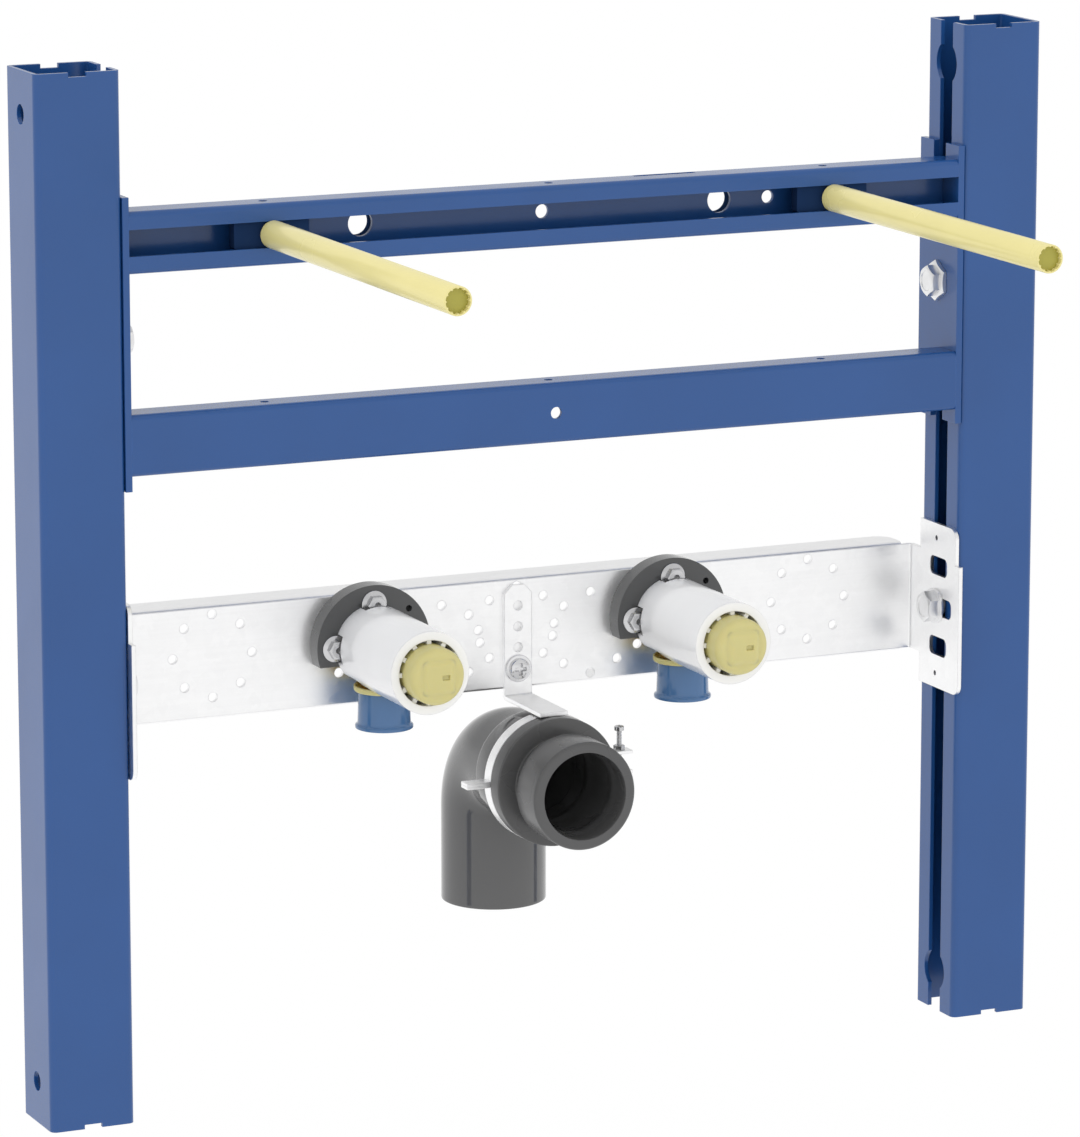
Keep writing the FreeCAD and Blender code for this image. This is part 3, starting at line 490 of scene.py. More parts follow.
def edge_wear_and_highlight():
    """Group: mask of outer edges, found where a rounded normal leaves the true one, broken by noise. It places
    the painted highlight on the edges of paint and plastic, and the duller edges of zinc sheet.
    """

    def build(tree, start):
        soft = add(tree, "ShaderNodeBevel", {"Radius": start["Width"]}, samples=6)
        true = add(tree, "ShaderNodeNewGeometry").outputs["Normal"]
        match = add(tree, "ShaderNodeVectorMath", {0: soft.outputs[0], 1: true}, operation="DOT_PRODUCT")
        edge = ranged(tree, match.outputs["Value"], (0.995, 0.88), UNIT)
        chance = ranged(tree, place_noise(tree, 160.0, detail=3.0), NARROW, (0.35, 1.0))
        return {"Mask": combined(tree, "MULTIPLY", edge, chance)}

    return shared("edge_wear_and_highlight", {"Width": 0.0006}, ["Mask"], build)


def spangle():
    """Group: crystals of a galvanised sheet, a brightness and a roughness for each."""

    def build(tree, start):
        where = add(tree, "ShaderNodeTexCoord").outputs["Object"]
        warp = add(tree, "ShaderNodeTexNoise", {"Vector": where, "Scale": 120.0, "Detail": 2.0})
        bent = add(tree, "ShaderNodeMix", {0: 0.02, 4: where, 5: warp.outputs["Color"]}, data_type="VECTOR")
        cells = add(tree, "ShaderNodeTexVoronoi", {"Vector": bent.outputs[1], "Scale": start["Scale"]})
        grey = add(tree, "ShaderNodeSeparateColor", {0: cells.outputs["Color"]}).outputs
        return {"Bright": ranged(tree, grey[0], UNIT, (start["Low"], 1.0)),
                "Roughness": ranged(tree, grey[1], UNIT, (start["Smooth"], start["Rough"]))}

    inputs = {"Scale": 220.0, "Low": 0.93, "Smooth": 0.3, "Rough": 0.4}
    return shared("spangle", inputs, ["Bright", "Roughness"], build)


def toned(rgb, factor):
    """A colour lightened or darkened by a factor, as a node colour."""
    return tuple(min(1.0, channel * factor) for channel in rgb) + (1.0,)


def drifted(tree, rgb, second, amount, scale):
    """A colour that drifts towards itself times a second factor."""
    inputs = {"Color": toned(rgb, 1.0), "Second": toned(rgb, second), "Amount": amount, "Scale": scale}
    return placed(tree, tone_drift(), inputs)["Color"]


def highlighted_edges(tree, tone, pale, width, share):
    """A colour that goes over to a pale one, by a share, along outer edges of some width: a painted highlight.
    """
    mask = placed(tree, edge_wear_and_highlight(), {"Width": width})["Mask"]
    return blended(tree, combined(tree, "MULTIPLY", mask, share), tone, pale)


def rounded_bump(tree, height, strength, distance, radius):
    """Normal of a fine bump over edges eased to a radius."""
    soft = add(tree, "ShaderNodeBevel", {"Radius": radius}, samples=6)
    inputs = {"Strength": strength, "Distance": distance, "Height": height, "Normal": soft.outputs[0]}
    return add(tree, "ShaderNodeBump", inputs).outputs[0]


def start_material(name):
    """New material with its Principled shader."""
    made = bpy.data.materials.new(name)
    made.use_nodes = True
    return made, made.node_tree, made.node_tree.nodes["Principled BSDF"]


def painted(name, rgb, gloss, edge):
    """Satin powder coat of some gloss: faint drift, orange-peel bump, thin lighter edges that are a painted
    highlight.
    """
    made, tree, shader = start_material(name)
    tone = drifted(tree, rgb, 0.88, amount=0.6, scale=14.0)
    grain = placed(tree, surface_grain(), {"Scale": 420.0, "Smooth": 0.18, "Rough": 0.24})
    feed(tree, shader, {
        # Lighter edges: a painted highlight along the coat's edges
        "Base Color": highlighted_edges(tree, tone, toned(rgb, 1.9), 1.6 * edge, share=0.35),
        "Roughness": grain["Roughness"],
        "Specular IOR Level": 0.5 * gloss,
        "Coat Weight": 0.1 * gloss,
        "Coat Roughness": COAT_ROUGHNESS,
        "Normal": rounded_bump(tree, grain["Height"], strength=0.06, distance=0.0004, radius=edge),
    })
    return made


def galvanised(name, rgb, edge):
    """Bright zinc sheet: spangle, rolling streaks along the sheet, edges a little duller."""
    made, tree, shader = start_material(name)
    crystals = placed(tree, spangle(), {"Scale": 240.0, "Low": 0.975, "Smooth": 0.30, "Rough": 0.38})
    streaks = place_noise(tree, 1.0, (6.0, 900.0, 900.0), detail=4.0)
    line = ranged(tree, streaks, WIDE, (0.98, 1.0))
    worn = placed(tree, edge_wear_and_highlight(), {"Width": 1.2 * edge})["Mask"]
    dull = ranged(tree, worn, UNIT, (1.0, 0.86))
    level = combined(tree, "MULTIPLY", combined(tree, "MULTIPLY", crystals["Bright"], line), dull)
    feed(tree, shader, {
        "Base Color": blended(tree, level, toned(rgb, 0.0), toned(rgb, 1.0)),
        "Roughness": crystals["Roughness"],
        "Metallic": 1.0,
        "Normal": rounded_bump(tree, streaks, strength=0.04, distance=0.0002, radius=edge),
    })
    return made


def bare_metal(name, rgb, rough, edge):
    """Plated or turned metal of a range of roughness: fine grain, slight tarnish in patches."""
    made, tree, shader = start_material(name)
    grain = placed(tree, surface_grain(), {"Scale": 1600.0, "Smooth": rough[0], "Rough": rough[1]})
    feed(tree, shader, {
        "Base Color": drifted(tree, rgb, 0.78, amount=0.7, scale=90.0),
        "Roughness": grain["Roughness"],
        "Metallic": 1.0,
        "Normal": rounded_bump(tree, grain["Height"], strength=0.05, distance=0.0001, radius=0.5 * edge),
    })
    return made


def moulded(name, rgb, rough, bump, edge, coat=0.0, glow=0.0):
    """Plastic or rubber from a mould: fine texture, faint flow marks, edges a little paler as a painted
    highlight, and a glossy skin of some weight. Light goes some way into a plastic that glows."""
    made, tree, shader = start_material(name)
    tone = drifted(tree, rgb, 0.93, amount=0.5, scale=30.0)
    grain = placed(tree, surface_grain(), {"Scale": 1100.0, "Smooth": rough[0], "Rough": rough[1]})
    feed(tree, shader, {
        # Paler edges: a faint painted highlight
        "Base Color": highlighted_edges(tree, tone, toned(rgb, 1.5), edge, share=0.06),
        "Roughness": grain["Roughness"],
        "Coat Weight": coat,
        "Coat Roughness": COAT_ROUGHNESS,
        "Subsurface Weight": glow,
        "Subsurface Radius": (1.0, 0.8, 0.35),
        "Subsurface Scale": 0.003,
        "Normal": rounded_bump(tree, grain["Height"], strength=bump, distance=0.0002, radius=edge),
    })
    return made


def finished(name):
    """The material of a finish, made the first time that it is asked for. Its name differs from that of
    the plain material which the frame brings for the same slot."""
    title = name + "_finish"
    made = bpy.data.materials.get(title)
    if made:
        return made
    tones = bpy.context.scene.basin_colours
    edge = bpy.context.scene.basin_sizes.edge
    makers = {
        "blue_paint": lambda: painted(title, tones.paint, 1.0, edge),
        # dark_steel: the blue paint's matte copy in painted shade, for parts in shadow inside the top rail
        "dark_steel": lambda: painted(title, tones.paint_in_shade, 0.0, edge),
        "zinc_sheet": lambda: galvanised(title, tones.zinc, edge),
        "bright_steel": lambda: bare_metal(title, tones.steel, (0.12, 0.20), edge),
        "plated_steel": lambda: bare_metal(title, tones.plated, (0.32, 0.42), edge),
        "dull_steel": lambda: bare_metal(title, tones.screw, (0.18, 0.26), edge),
        "brass": lambda: bare_metal(title, tones.brass, (0.28, 0.40), edge),
        # yellow_plastic and sleeve_plastic: one plastic as darker and lighter copies, painted shade and painted
        # light
        "yellow_plastic": lambda: moulded(title, tones.yellow, (0.38, 0.48), 0.05, edge, glow=0.4),
        "sleeve_plastic": lambda: moulded(title, tones.sleeve, (0.20, 0.28), 0.03, edge, coat=0.3),
        # The sleeve end's colour is painted shade of the sleeve's yellow.
        "shaded_sleeve_end": lambda: moulded(title, tones.shaded_sleeve_end, (0.38, 0.48), 0.05, edge),
        "white_plastic": lambda: moulded(title, tones.white, (0.14, 0.20), 0.02, 1.6 * edge, coat=0.4),
        "blue_plastic": lambda: moulded(title, tones.cap, (0.08, 0.13), 0.02, edge, coat=0.3),
        "grey_rubber": lambda: moulded(title, tones.disc, (0.15, 0.22), 0.05, edge, coat=0.3),
        "black_rubber": lambda: moulded(title, tones.seal, (0.24, 0.32), 0.05, edge),
        "dark_plastic": lambda: moulded(title, tones.bend, (0.07, 0.11), 0.015, edge, coat=0.35),
    }
    return makers[name]()


class BASINFRAME_OT_metalwork(bpy.types.Operator):
    """Coats the posts, rails and folded sheet, and gives the solids that stay their finishes"""

    bl_idname = "basinframe.metalwork"
    bl_label = "Posts, rails and sheet"

    def execute(self, context):
        for part in frame["record"]["subparts"]:
            # Bushes take the dark coat of painted shade in place of their blue paint.
            bush = part["node"].endswith("_rail_bush")
            dress(part["node"], "dark_steel" if bush else part["material_slot"])
        return {"FINISHED"}


class BASINFRAME_OT_basin_rods(bpy.types.Operator):
    """Cuts the threads of the basin rods and moulds their ribbed sleeves"""

    bl_idname = "basinframe.basin_rods"
    bl_label = "Basin rods and sleeves"

    def rod(self, side, sizes):
        """Threaded bar over the length of the rod's solid."""
        low, high, middle = spot(side + "_rod")
        radius = (high[0] - low[0]) / 2
        bar = threaded_bar(high[1] - low[1], radius - HAIR, sizes.rod_pitch / MM, sizes.rod_thread / MM)
        surface = skin(stood(bar, shifted(middle, 1, low[1]), Y, X))
        piece(side + "_threaded_rod", surface, "bright_steel", [side + "_rod"], sharp=60.0)

    def sleeve(self, side, sizes):
        """Tube whose bore is R - w - (R - w - rod) p(a), p being a row of narrow bumps
        clip(2.2 cos(n a) - 1.2, 0, 1), one for each rib, and the end wall just inside its tip."""
        low, high, middle = spot(side + "_rod_sleeve")
        rod_low, rod_high, _ = spot(side + "_rod")
        tall = high[1] - low[1]
        outer = (high[0] - low[0]) / 2
        ribs = sizes.sleeve_ribs
        angle = round_turn(ribs * 10)
        bump = np.clip(2.2 * np.cos(ribs * angle) - 1.2, 0, 1)
        tip_bore = outer - sizes.sleeve_wall / MM
        rod_bore = (rod_high[0] - rod_low[0]) / 2 + HAIR
        bore = tip_bore - (tip_bore - rod_bore) * bump
        rib_depth = 6.0
        rows = [(0.25, bore), (0.0, bore + 0.2), (0.0, outer - 0.35), (0.12, outer - 0.1), (0.4, outer),
                (tall - 0.3, outer), (tall, outer - 0.3), (tall, bore), (0.5 * tall, bore), (rib_depth, bore)]
        wall_front = 2.4
        wall_back = 2.98
        lap = tip_bore + 0.2
        end_rows = [(wall_front, 0), (wall_front, lap), (wall_back, lap), (wall_back, 0)]
        foot = shifted(middle, 1, low[1])
        nodes = [side + "_rod_sleeve"]
        tube = skin(stood(ringed(rows, angle), foot, Y, X), ring=True)
        piece(side + "_ribbed_sleeve", tube, "sleeve_plastic", nodes)
        # The end wall takes the sleeve's yellow darkened to painted shade.
        end = skin(stood(lathe(end_rows, cols=48), foot, Y, X))
        piece(side + "_shaded_sleeve_end", end, "shaded_sleeve_end", nodes)

    def execute(self, context):
        sizes = context.scene.basin_sizes
        for side in SIDES:
            self.rod(side, sizes)
            self.sleeve(side, sizes)
        return {"FINISHED"}


class BASINFRAME_OT_frame_bolts(bpy.types.Operator):
    """Makes the hex bolts that hold the end plates and the mounting plate to the posts"""

    bl_idname = "basinframe.frame_bolts"
    bl_label = "Frame bolts"

    def bolt(self, side, kind, sizes):
        """Head on a collar, hexagonal or round, and an M8 shank into the post, all along X. The hexagons'
        corners point up and down. An ear of the mounting plate is thinner than an end plate."""
        node = side + "_" + kind
        low, high, middle = spot(node)
        plate_low, plate_high, _ = spot(side + "_end_plate")
        if side == "left":
            along, seat, tip, far = X, plate_high[0], high[0], low[0]
        else:
            along, seat, tip, far = -X, plate_low[0], low[0], high[0]
        if kind == "plate_bolt":
            ear_thinner = 1.0
            seat = seat - ear_thinner * along[0]
            collar_tall = 1.6
            head_tall = abs(tip - seat) - collar_tall
            reach = (high[1] - low[1]) / 2
            collar = lathe(eased([(0, 0), (0, reach), (collar_tall, reach), (collar_tall, 0)], 0.35))
        else:
            collar_tall = sizes.end_collar / MM
            head_tall = sizes.end_head / MM
            collar = hex_head(high[2] - low[2], collar_tall)
        head_flats = 13.0
        head = hex_head(head_flats, head_tall, sizes.head_dish / MM)
        shank = threaded_bar(abs(far - seat) + ROOT, radius=3.95, pitch=1.25, depth=0.7)
        origin = shifted(middle, 0, seat)
        parts = [
            skin(stood(collar, origin, along, Z)),
            skin(stood(head, origin + (collar_tall - HAIR) * along, along, Z)),
            skin(stood(shank, shifted(middle, 0, far), along, Z)),
        ]
        piece(node + "_hex", gathered(parts), "plated_steel", [node])

    def execute(self, context):
        for side in SIDES:
            for kind in ("end_bolt", "plate_bolt"):
                self.bolt(side, kind, context.scene.basin_sizes)
        return {"FINISHED"}


class BASINFRAME_OT_tap_screws(bpy.types.Operator):
    """Makes the flange-head screws of the taps"""

    bl_idname = "basinframe.tap_screws"
    bl_label = "Tap screws"

    def screw(self, node, sizes):
        """Coned flange, hex head with a round recess, threaded shank, all along -Y."""
        low, high, middle = spot(node)
        reach = (high[0] - low[0]) / 2
        flange = sizes.flange / MM
        flats = sizes.flange_flats / MM
        whole = 5.0
        tall = whole - flange
        seat = low[1] + whole
        cone = eased([(0, 0), (0, reach), (0.55 * flange, reach), (flange, 0.52 * flats), (flange, 0)], 0.25)
        recess = ringed([(tall, 1.5), (tall - 1.8, 1.4), (tall - 2.2, 0)], round_turn(HEX_COLS))
        head = np.concatenate([hex_head(flats, tall)[:-1], recess])
        origin = shifted(middle, 1, seat)
        parts = [
            skin(stood(lathe(cone), origin, -Y, X)),
            skin(stood(head, origin - (flange - HAIR) * Y, -Y, X)),
            skin(stood(small_shank(high[1] - seat, sizes), shifted(middle, 1, high[1]), -Y, X)),
        ]
        piece(node + "_hex", gathered(parts), "dull_steel", [node])

    def execute(self, context):
        for side in SIDES:
            for place in ("outer", "top", "inner"):
                self.screw(side + "_tap_screw_" + place, context.scene.basin_sizes)
        return {"FINISHED"}


class BASINFRAME_OT_site_plugs(bpy.types.Operator):
    """Moulds the plugs in the taps, and the collars and caps of their inlets"""

    bl_idname = "basinframe.site_plugs"
    bl_label = "Site plugs and caps"
    # Radius of the inlet in collar and cap, in mm
    inlet = 10.5

    def plug(self, side):
        """Rings on one set of angles: the round body with a domed rim, a quarter circle, then the soft
        square boss and the oblong notch in its face as rounded rectangles. The notch is off the middle."""
        low, high, middle = spot(side + "_tap_plug")
        radius = (high[0] - low[0]) / 2
        tall = high[1] - low[1]
        boss_tall = 1.4
        rim = 3.6
        notch_off = 2.9
        notch_floor = tall - 1.2
        body = tall - boss_tall
        angle = round_turn(144)
        boss = squared(angle, 7.0, 7.0)
        notch = squared(angle, 1.8, 1.1)
        turn = np.linspace(0, TAU / 4, 9)
        dome = zip(body - rim * (1 - np.sin(turn)), radius - rim * (1 - np.cos(turn)))
        notch_rows = [(tall, notch + 0.3), (tall - 0.3, notch), (notch_floor, notch - 0.1), (notch_floor, 0)]
        rows = [(0, 0), (0, radius), *dome, (body, boss + 1.4), (body + 0.25, boss + 0.7),
                (body + 0.7, boss + 0.1), (tall - 0.35, boss - 0.5), (tall - 0.1, boss - 1.0),
                (tall, boss - 1.8), *notch_rows]
        rings = ringed(rows, angle)
        rings[-len(notch_rows):, :, 0] += notch_off
        surface = skin(stood(rings, shifted(middle, 1, high[1]), -Y, X))
        piece(side + "_square_plug", surface, "yellow_plastic", [side + "_tap_plug"])

    def collar(self, side, sizes):
        """Cup turned about the inlet: a floor, a thin rim and the hole of the inlet."""
        low, high, middle = spot(side + "_inlet_collar")
        radius = (high[0] - low[0]) / 2
        tall = high[2] - low[2]
        inner = radius - sizes.collar_rim / MM
        floor = 1.0
        profile = [(0, self.inlet), (0, radius - 0.4), (0.6, radius), (tall, radius), (tall, inner),
                   (floor, inner), (floor, self.inlet)]
        cup = lathe(eased(profile, 0.3, closed=True), cols=96)
        surface = skin(stood(cup, shifted(middle, 2, low[2]), Z, X), ring=True)
        piece(side + "_cup_collar", surface, "yellow_plastic", [side + "_inlet_collar"])

    def cap(self, side, sizes):
        """Cup turned about the inlet: rim below, tapered wall, open top with the inlet in it."""
        low, high, middle = spot(side + "_inlet_cap")
        rim = (high[0] - low[0]) / 2
        tall = high[2] - low[2]
        wall = 12.35
        top = wall + 0.2 - sizes.cap_taper / MM
        bore = self.inlet + HAIR
        floor = 2.0
        profile = [(0.5, 0), (0.5, self.inlet), (0, self.inlet + 0.7), (0, rim), (1.4, rim), (2.3, rim - 1.0),
                   (3.0, wall), (tall, top), (tall, bore), (floor, bore), (floor, 0)]
        surface = skin(stood(lathe(eased(profile, 0.35), cols=96), shifted(middle, 2, low[2]), Z, X))
        piece(side + "_rimmed_cap", surface, "blue_plastic", [side + "_inlet_cap"])

    def execute(self, context):
        sizes = context.scene.basin_sizes
        for side in SIDES:
            self.plug(side)
            self.collar(side, sizes)
            self.cap(side, sizes)
        return {"FINISHED"}


class BASINFRAME_OT_waste(bpy.types.Operator):
    """Moulds the waste bend and its rubber collar"""

    bl_idname = "basinframe.waste"
    bl_label = "Waste bend and seal"

    def bend(self):
        """Circle of radius r(s) carried along a level line, a quarter turn and a drop. The rows run down
        the outside and back up the bore: s is the distance along the centre line."""
        low, high, middle = spot("waste_socket")
        foot_low, foot_high, foot_middle = spot("waste_leg")
        socket = (high[0] - low[0]) / 2
        pipe = (foot_high[0] - foot_low[0]) / 2
        bore = pipe - 3.0
        seat = 25.5
        seat_end = 17.2
        socket_end = 21.5
        taper_end = 26.7
        steps = 110
        front = low[1]
        corner_y = high[1]
        turn = foot_middle[1] - corner_y
        level = corner_y - front
        arc = turn * math.pi / 2
        whole = level + arc + foot_high[2] - foot_low[2]
        outside = [(0.0, seat + 0.5), (0.0, socket - 0.7), (0.2, socket - 0.2), (0.7, socket),
                   (socket_end - 0.8, socket), (socket_end, socket - 0.15), (socket_end + 0.8, socket - 0.7),
                   (taper_end - 0.8, pipe + 0.5), (taper_end, pipe + 0.1), (taper_end + 1.0, pipe)]
        run = [(s, pipe) for s in np.linspace(taper_end + 1.8, whole - 0.8, steps)]
        foot = [(whole - 0.3, pipe - 0.1), (whole, pipe - 0.5), (whole, bore + 0.3)]
        back = [(s, bore) for s in np.linspace(whole - 0.4, seat_end, steps)]
        inside = [(seat_end, bore), (seat_end, seat), (0.5, seat)]
        s, radius = np.array(outside + run + foot + back + inside).T[..., None]
        theta = np.clip((s - level) / turn, 0, math.pi / 2)
        past = np.maximum(s - level - arc, 0)
        centre_y = front + np.minimum(s, level) + turn * np.sin(theta)
        centre_z = middle[2] - turn * (1 - np.cos(theta)) - past
        angle = round_turn(96)
        rise = radius * np.sin(angle)
        points = np.stack([middle[0] + radius * np.cos(angle), centre_y + rise * np.sin(theta),
                           centre_z + rise * np.cos(theta)], axis=-1)
        nodes = ["waste_socket", "waste_bend", "waste_leg"]
        piece("moulded_bend", skin(points, ring=True), "dark_plastic", nodes)

    def seal(self, sizes):
        """Turned ring: nose with eased lips, neck behind it, flange against the socket, sleeve inside it,
        and two low lips in the bore, cos^4 bumps."""
        low, high, middle = spot("waste_seal")
        ring = (high[0] - low[0]) / 2
        tall = high[1] - low[1]
        body = 25.48
        bore = 19.6
        neck = 21.2
        nose_end = 20.5
        flange_front = 30.3
        flange_back = 38.8
        lip = sizes.seal_lip / MM
        lip_depths = (14.0, 40.0)
        lip_spread = 5.0
        lip_half = 7.8
        corners = [(0, bore + 1.0), (0, body - 1.0), (1.0, body), (nose_end, body), (nose_end + 1.5, neck),
                   (flange_front, neck), (flange_front, ring), (flange_back, ring), (flange_back, body),
                   (tall, body), (tall, bore + 1.0)]
        depth = np.linspace(tall - 0.6, 1.0, 60)
        bumps = np.zeros_like(depth)
        for place in lip_depths:
            bump = np.clip(np.cos((depth - place) / lip_spread), 0, 1) ** 4
            bumps = bumps + bump * (np.abs(depth - place) < lip_half)
        inside = np.stack([depth, bore + lip - lip * bumps], axis=1)
        profile = np.vstack([eased(corners, 0.7), inside])
        surface = skin(stood(lathe(profile, cols=120), shifted(middle, 1, low[1]), Y, X), ring=True)
        piece("waste_collar", surface, "black_rubber", ["waste_seal"])

    def execute(self, context):
        self.bend()
        self.seal(context.scene.basin_sizes)
        return {"FINISHED"}


class BASINFRAME_OT_clamp_screws(bpy.types.Operator):
    """Makes the upright screw of the pipe clamp and the cross-recess screw of the strap"""

    bl_idname = "basinframe.clamp_screws"
    bl_label = "Clamp and strap screws"

    def clamp_screw(self, sizes):
        """Slotted cheese head, threaded shank, a nut on each side of the clamp's ears, along Z."""
        low, high, middle = spot("clamp_screw")
        ear_rise = 9.4
        ear_drop = 1.4
        ears_high = spot("clamp_upper")[0][2] + ear_rise
        ears_low = spot("clamp_lower")[1][2] - ear_drop
        head_tall = 2.6
        head = 2.3
        dome = 0.45
        top = high[2] - head_tall
        height, reach, angle = recessed_face(head - 0.25, dome, depth=1.2, arm=0.35, slot_only=True)
        sides = lathe(eased([(0, 0), (0, head), (head_tall - 0.6, head)], 0.3), len(angle))
        face = polar(height + head_tall - dome, reach, angle)
        shank = threaded_bar(top - low[2] + 0.3, radius=1.29, pitch=sizes.screw_pitch / MM, depth=0.3, cols=20)
        nut = hex_head(flats=4.66, tall=2.4)
        parts = [
            skin(stood(shank, shifted(middle, 2, low[2]), Z, Y)),
            skin(stood(np.concatenate([sides, face]), shifted(middle, 2, top), Z, Y)),
            skin(stood(nut, shifted(middle, 2, ears_high), Z, Y)),
            skin(stood(nut, shifted(middle, 2, ears_low), -Z, Y)),
        ]
        piece("clamp_screw_slotted", gathered(parts), "dull_steel", ["clamp_screw"])

    def strap_bolt(self, sizes):
        """Washer and domed head with a cross recess, along -Y, and its shank behind."""
        low, high, middle = spot("strap_bolt")
        reach = (high[0] - low[0]) / 2
        seat = low[1] + 3.5
        washer_tall = 1.0
        washer = lathe(eased([(0, 0), (0, reach), (washer_tall, reach), (washer_tall, 0)], 0.3))
        head = 4.9
        height, rings, angle = recessed_face(head - 0.3, dome=0.8, depth=sizes.recess / MM, arm=0.75)
        sides = lathe(eased([(0, 0), (0, head), (1.3, head)], 0.2), len(angle))
        face = polar(height + 1.7, rings, angle)
        origin = shifted(middle, 1, seat)
        parts = [
            skin(stood(washer, origin, -Y, X)),
            skin(stood(np.concatenate([sides, face]), origin - (washer_tall - HAIR) * Y, -Y, X)),
            skin(stood(small_shank(high[1] - seat, sizes), shifted(middle, 1, high[1]), -Y, X)),
        ]
        piece("strap_bolt_cross", gathered(parts), "bright_steel", ["strap_bolt"])

    def execute(self, context):
        self.clamp_screw(context.scene.basin_sizes)
        self.strap_bolt(context.scene.basin_sizes)
        return {"FINISHED"}


class BASINFRAME_OT_studio(bpy.types.Operator):
    """Sets up the floor, the light and the camera"""

    bl_idname = "basinframe.studio"
    bl_label = "Studio"

    def seen_white(self, tree):
        """1 for rays from the camera, from glossy and from clear surfaces, which see white all round."""
        path = add(tree, "ShaderNodeLightPath").outputs
        mirrored = combined(tree, "MAXIMUM", path["Is Camera Ray"], path["Is Glossy Ray"])
        return combined(tree, "MAXIMUM", mirrored, path["Is Transmission Ray"])

    def room(self, tree, out, stage):
        """Strength of the white all round: 1 to the eye and behind the frame, less in front of it and
        overhead, where the studio is darker. The edge of the front lies across the frame, at the sides."""
        along = add(tree, "ShaderNodeVectorMath", {0: out}, operation="NORMALIZE").outputs[0]
        axes = add(tree, "ShaderNodeSeparateXYZ", {0: along}).outputs
        back = ranged(tree, axes["Y"], FRONT_EDGE, (stage.front, 1.0))
        rise = ranged(tree, axes["Z"], CEILING_EDGE, (1.0, stage.above))
        eye = add(tree, "ShaderNodeLightPath").outputs["Is Camera Ray"]
        return combined(tree, "MAXIMUM", combined(tree, "MULTIPLY", back, rise), eye)

    def floor(self, stage, middle):
        """Level sheet under the frame, white to the eye but for a share that keeps the shadow."""
        under = shifted(middle, 2, CAD_BOX[0][2] - stage.floor_drop)
        corners = [under + FLOOR_HALF * (u * X + v * Y) for u, v in ((-1, -1), (1, -1), (1, 1), (-1, 1))]
        mesh = bpy.data.meshes.new("studio_floor")
        mesh.from_pydata(corners, [], [(0, 1, 2, 3)])
        made = linked("studio_floor", mesh)
        cover = bpy.data.materials.new("studio_floor")
        cover.use_nodes = True
        tree = cover.node_tree
        tree.nodes.clear()
        tone = blended(tree, place_noise(tree, 3.0), toned(stage.floor, 1.0), toned(stage.floor, 0.985))
        plain = add(tree, "ShaderNodeBsdfDiffuse", {"Color": tone}).outputs[0]
        both = {0: add(tree, "ShaderNodeNewGeometry").outputs["Position"], 1: under}
        out = add(tree, "ShaderNodeVectorMath", both, operation="SUBTRACT").outputs[0]
        glow = {"Color": WHITE, "Strength": self.room(tree, out, stage)}
        white = add(tree, "ShaderNodeEmission", glow).outputs[0]
        away = add(tree, "ShaderNodeVectorMath", both, operation="DISTANCE").outputs["Value"]
        fade = ranged(tree, away, SHADOW_FADE, (SHADOW_WHITE, 1.0))
        share = combined(tree, "MULTIPLY", self.seen_white(tree), fade)
        mixed = add(tree, "ShaderNodeMixShader", {0: share, 1: plain, 2: white}).outputs[0]
        add(tree, "ShaderNodeOutputMaterial", {"Surface": mixed})
        cover.cycles.emission_sampling = "NONE"
        mesh.materials.append(cover)

    def sky(self, stage):
        """Even light for matt surfaces, plain white to the eye and the white room in reflections."""
        world = bpy.data.worlds.new("studio_sky")
        bpy.context.scene.world = world
        world.use_nodes = True
        world.cycles.sampling_method = "NONE"
        tree = world.node_tree
        tree.nodes.clear()
        lit = add(tree, "ShaderNodeBackground", {"Color": WHITE, "Strength": stage.sky}).outputs[0]
        out = add(tree, "ShaderNodeTexCoord").outputs["Generated"]
        glow = {"Color": WHITE, "Strength": self.room(tree, out, stage)}
        white = add(tree, "ShaderNodeBackground", glow).outputs[0]
        mixed = add(tree, "ShaderNodeMixShader", {0: self.seen_white(tree), 1: lit, 2: white}).outputs[0]
        add(tree, "ShaderNodeOutputWorld", {"Surface": mixed})

    def face(self, made, right, up, back, place):
        """Turns an object by its own right, up and back directions and sets it in its place."""
        pose = np.eye(4)
        pose[:3] = np.column_stack([right, up, back, place])
        made.matrix_world = Matrix(pose.tolist())

    def softbox(self, name, power, place, aim, size):
        """Area light at a place, turned to a point. Reflections show the white room in its place."""
        lamp = bpy.data.lights.new(name, "AREA")
        lamp.shape = "RECTANGLE"
        lamp.size, lamp.size_y = size
        lamp.energy = power
        made = linked(name, lamp)
        back = (place - aim) / np.linalg.norm(place - aim)
        right = np.cross(Z, back)
        right = right / np.linalg.norm(right)
        self.face(made, right, np.cross(back, right), back, place)
        made.visible_glossy = False

    def camera(self, stage):
        """Camera from its place, turn and tilt: it looks along (sin t cos p, cos t cos p, -sin p)."""
        turn = stage.camera_turn
        tilt = stage.camera_tilt
        look = np.array([math.sin(turn) * math.cos(tilt), math.cos(turn) * math.cos(tilt), -math.sin(tilt)])
        right = np.array([math.cos(turn), -math.sin(turn), 0.0])
        lens = bpy.data.cameras.new("studio_camera")
        lens.sensor_width = 36.0
        lens.sensor_height = 36.0
        lens.lens = stage.lens
        lens.clip_end = 200.0
        made = linked("studio_camera", lens)
        self.face(made, right, np.cross(right, look), -look, np.array(stage.camera_place))
        bpy.context.scene.camera = made

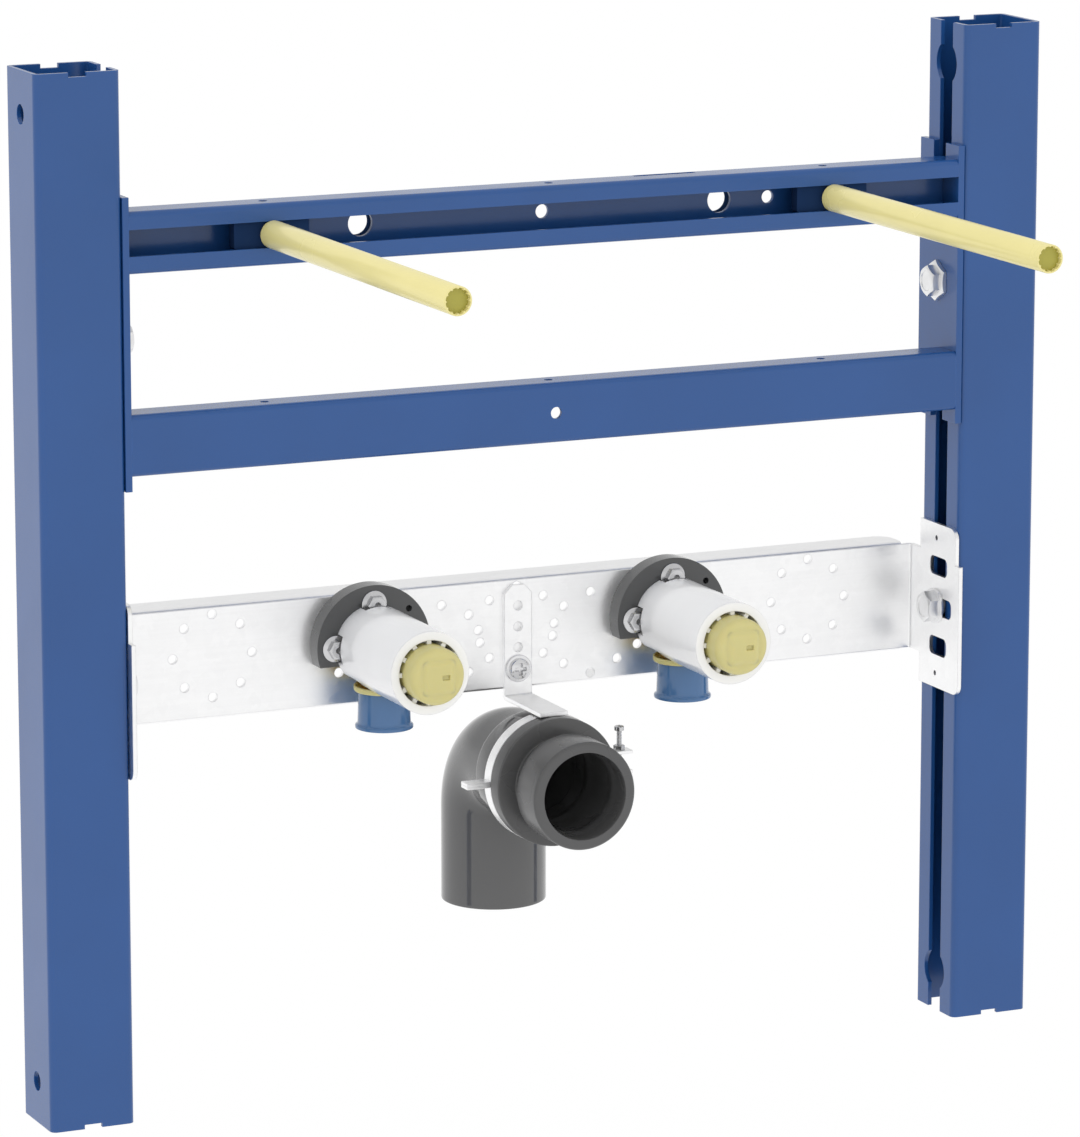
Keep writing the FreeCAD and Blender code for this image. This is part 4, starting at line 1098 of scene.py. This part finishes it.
    def execute(self, context):
        stage = context.scene.basin_stage
        middle = np.mean([np.array(corner) for corner in CAD_BOX], axis=0)
        self.floor(stage, middle)
        self.sky(stage)
        self.softbox("key_softbox", stage.key, middle + KEY_PLACE, middle, KEY_SIZE)
        self.softbox("fill_softbox", stage.fill, middle + FILL_PLACE, middle, FILL_SIZE)
        self.camera(stage)
        context.scene.view_settings.view_transform = "Standard"
        return {"FINISHED"}


class BASINFRAME_PT_sidebar(bpy.types.Panel):
    """Lists the steps that dress the frame"""

    bl_idname = "BASINFRAME_PT_sidebar"
    bl_label = "Basin frame"
    bl_space_type = "VIEW_3D"
    bl_region_type = "UI"
    bl_category = "Basin frame"

    def draw(self, context):
        for step_class in OPERATORS:
            self.layout.operator(step_class.bl_idname)
        for group in (context.scene.basin_colours, context.scene.basin_sizes, context.scene.basin_stage):
            box = self.layout.box()
            for name in group.__annotations__:
                box.prop(group, name)


GROUPS = (BasinFrameColours, BasinFrameSizes, BasinFrameStage)
OPERATORS = (
    BASINFRAME_OT_metalwork,
    BASINFRAME_OT_basin_rods,
    BASINFRAME_OT_frame_bolts,
    BASINFRAME_OT_tap_screws,
    BASINFRAME_OT_site_plugs,
    BASINFRAME_OT_waste,
    BASINFRAME_OT_clamp_screws,
    BASINFRAME_OT_studio,
)


def register():
    """Registers the classes and hangs the settings on the scene."""
    for one in GROUPS + OPERATORS + (BASINFRAME_PT_sidebar,):
        bpy.utils.register_class(one)
    bpy.types.Scene.basin_colours = PointerProperty(type=BasinFrameColours)
    bpy.types.Scene.basin_sizes = PointerProperty(type=BasinFrameSizes)
    bpy.types.Scene.basin_stage = PointerProperty(type=BasinFrameStage)


def unregister():
    """Takes the settings off the scene and unregisters the classes."""
    del bpy.types.Scene.basin_stage
    del bpy.types.Scene.basin_sizes
    del bpy.types.Scene.basin_colours
    for one in reversed(GROUPS + OPERATORS + (BASINFRAME_PT_sidebar,)):
        bpy.utils.unregister_class(one)


def main():
    """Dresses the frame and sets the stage."""
    register()
    bpy.ops.basinframe.metalwork()
    bpy.ops.basinframe.basin_rods()
    bpy.ops.basinframe.frame_bolts()
    bpy.ops.basinframe.tap_screws()
    bpy.ops.basinframe.site_plugs()
    bpy.ops.basinframe.waste()
    bpy.ops.basinframe.clamp_screws()
    bpy.ops.basinframe.studio()


if __name__ == "__main__":
    main()
